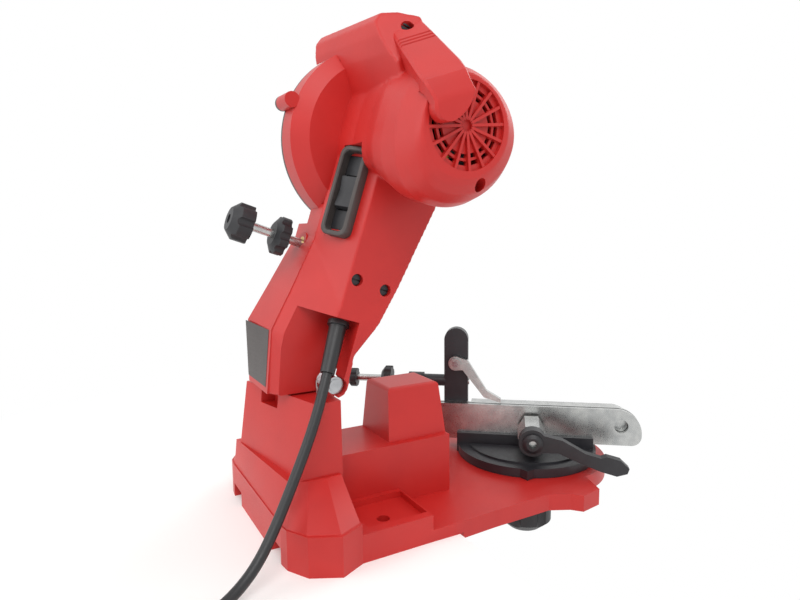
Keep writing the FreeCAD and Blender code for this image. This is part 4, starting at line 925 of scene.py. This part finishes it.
@dataclass
class Studio:
    """The pale bench, the soft lamps and the camera.

    Attributes:
        place: the camera's place.
        yaw: its heading in degrees, from +Y towards +X.
        pitch: how far it looks down, in degrees.
        roll: its tilt about its own axis, in degrees.
        focal_px: its focal length in pixels of the image.
        image_px: the image's width in pixels.
        bench_edge: where the bench ends, under the front of the base.
        floor_level: the height of the floor before the bench.
        ambient: the strength of the world's light on the object.
        paper_glow: the light of the bench and floor themselves, near the object.
        fade_from: the distance from the object's origin at which they start to fade into the white.
        fade_to: the distance at which they are plain white.
        lamps: the lamps.
    """

    place: Point = (-0.4039, 0.1507, 0.2076)
    yaw: float = 118.6
    pitch: float = 7.7
    roll: float = -0.6
    focal_px: float = 639.2
    image_px: float = 800.0
    bench_edge: float = -0.0705
    floor_level: float = -0.30
    ambient: float = 0.62
    paper_glow: float = 0.12
    fade_from: float = 0.16
    fade_to: float = 0.42
    lamps: tuple[Lamp, ...] = (
        Lamp(name="key", place=(-1.1, 0.5, 1.5), target=(0.0, -0.05, 0.15), side=1.2, power=16.0),
        Lamp(name="fill", place=(0.3, 1.6, 0.9), target=(0.0, -0.05, 0.15), side=1.4, power=9.0),
        Lamp(name="front", place=(0.2, -1.6, 1.2), target=(0.0, -0.05, 0.1), side=1.4, power=9.0),
    )

    def camera(self) -> None:
        """Set up the camera."""
        data = bpy.data.cameras.new("camera")
        data.sensor_width = 36.0
        data.lens = self.focal_px / self.image_px * data.sensor_width
        data.clip_start = 0.02
        heading = math.radians(self.yaw)
        down = math.radians(self.pitch)
        level = math.cos(down)
        ahead = Vector((math.sin(heading) * level, math.cos(heading) * level, -math.sin(down)))
        right = Vector((math.cos(heading), -math.sin(heading), 0.0))
        above = right.cross(ahead)
        tilt = math.radians(self.roll)
        side = right * math.cos(tilt) + above * math.sin(tilt)
        top = above * math.cos(tilt) - right * math.sin(tilt)
        turn = Matrix((side, top, -ahead)).transposed()
        eye = bpy.data.objects.new("camera", data)
        bpy.context.collection.objects.link(eye)
        eye.matrix_world = Matrix.Translation(Vector(self.place)) @ turn.to_4x4()
        bpy.context.scene.camera = eye

    def world(self) -> None:
        """Make the world: plain white to the camera and in reflections, dimmer as a light."""
        scene = bpy.context.scene
        scene.view_settings.view_transform = "Standard"
        world = bpy.data.worlds.new("studio")
        world.use_nodes = True
        tree = world.node_tree
        tree.nodes.clear()
        rays = add_node(tree, "ShaderNodeLightPath")
        seen = add_node(tree, "ShaderNodeMath", {"operation": "MAXIMUM"},
                        {0: rays.outputs["Is Camera Ray"], 1: rays.outputs["Is Glossy Ray"]})
        strength = add_node(tree, "ShaderNodeMapRange",
                            inputs={0: seen.outputs[0], 3: self.ambient, 4: 1.0})
        glow = add_node(tree, "ShaderNodeBackground",
                        inputs={"Color": (1.0, 1.0, 1.0, 1.0), "Strength": strength.outputs[0]})
        add_node(tree, "ShaderNodeOutputWorld", inputs={"Surface": glow.outputs[0]})
        scene.world = world

    def paper(self) -> bpy.types.Material:
        """Make the bench's and the floor's white paper.

        Returns:
            The material, which fades into the white world away from the object.
        """
        paper = bpy.data.materials.new("white_paper")
        paper.use_nodes = True
        tree = paper.node_tree
        tree.nodes.clear()
        white = add_node(tree, "ShaderNodeBsdfPrincipled",
                         inputs={"Base Color": linear("#F2F2F0"), "Roughness": 0.8,
                                 "Emission Color": (1, 1, 1, 1), "Emission Strength": self.paper_glow})
        blank = add_node(tree, "ShaderNodeEmission",
                         inputs={"Color": (1.0, 1.0, 1.0, 1.0), "Strength": 1.0})
        place = add_node(tree, "ShaderNodeTexCoord")
        away = add_node(tree, "ShaderNodeVectorMath", {"operation": "LENGTH"}, {0: place.outputs["Object"]})
        share = add_node(tree, "ShaderNodeMapRange",
                         inputs={0: away.outputs["Value"], 1: self.fade_from, 2: self.fade_to})
        faded = add_node(tree, "ShaderNodeMixShader",
                         inputs={0: share.outputs[0], 1: white.outputs[0], 2: blank.outputs[0]})
        add_node(tree, "ShaderNodeOutputMaterial", inputs={"Surface": faded.outputs[0]})
        return paper

    def ground(self) -> None:
        """Make the bench top and the floor before it."""
        paper = self.paper()
        deep = -self.floor_level
        for name, low, high in (("bench", (-3.0, self.bench_edge, -deep), (3.0, 3.0, 0.0)),
                                ("floor", (-3.0, -4.0, -deep - 0.02), (3.0, self.bench_edge, -deep))):
            middle = [(a + b) / 2 for a, b in zip(low, high)]
            bpy.ops.object.select_all(action="DESELECT")
            bpy.ops.mesh.primitive_cube_add(size=1.0, location=middle)
            slab = bpy.context.object
            slab.name = name
            slab.scale = [b - a for a, b in zip(low, high)]
            bpy.ops.object.transform_apply(location=True, rotation=True, scale=True)
            slab.data.materials.append(paper)

    def build(self) -> None:
        """Set up everything round the object."""
        self.camera()
        self.world()
        self.ground()
        for lamp in self.lamps:
            lamp.build()


# ---- assembly -------------------------------------------------------------------------------


def main() -> None:
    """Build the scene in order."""
    logging.basicConfig(level=logging.INFO, format="%(message)s")
    Studio().build()
    MainsLead().build()
    HeadHousing().build()
    SwitchBezel().build()
    LabelPlate().build()
    Dressing().dress()


if __name__ == "__main__":
    main()
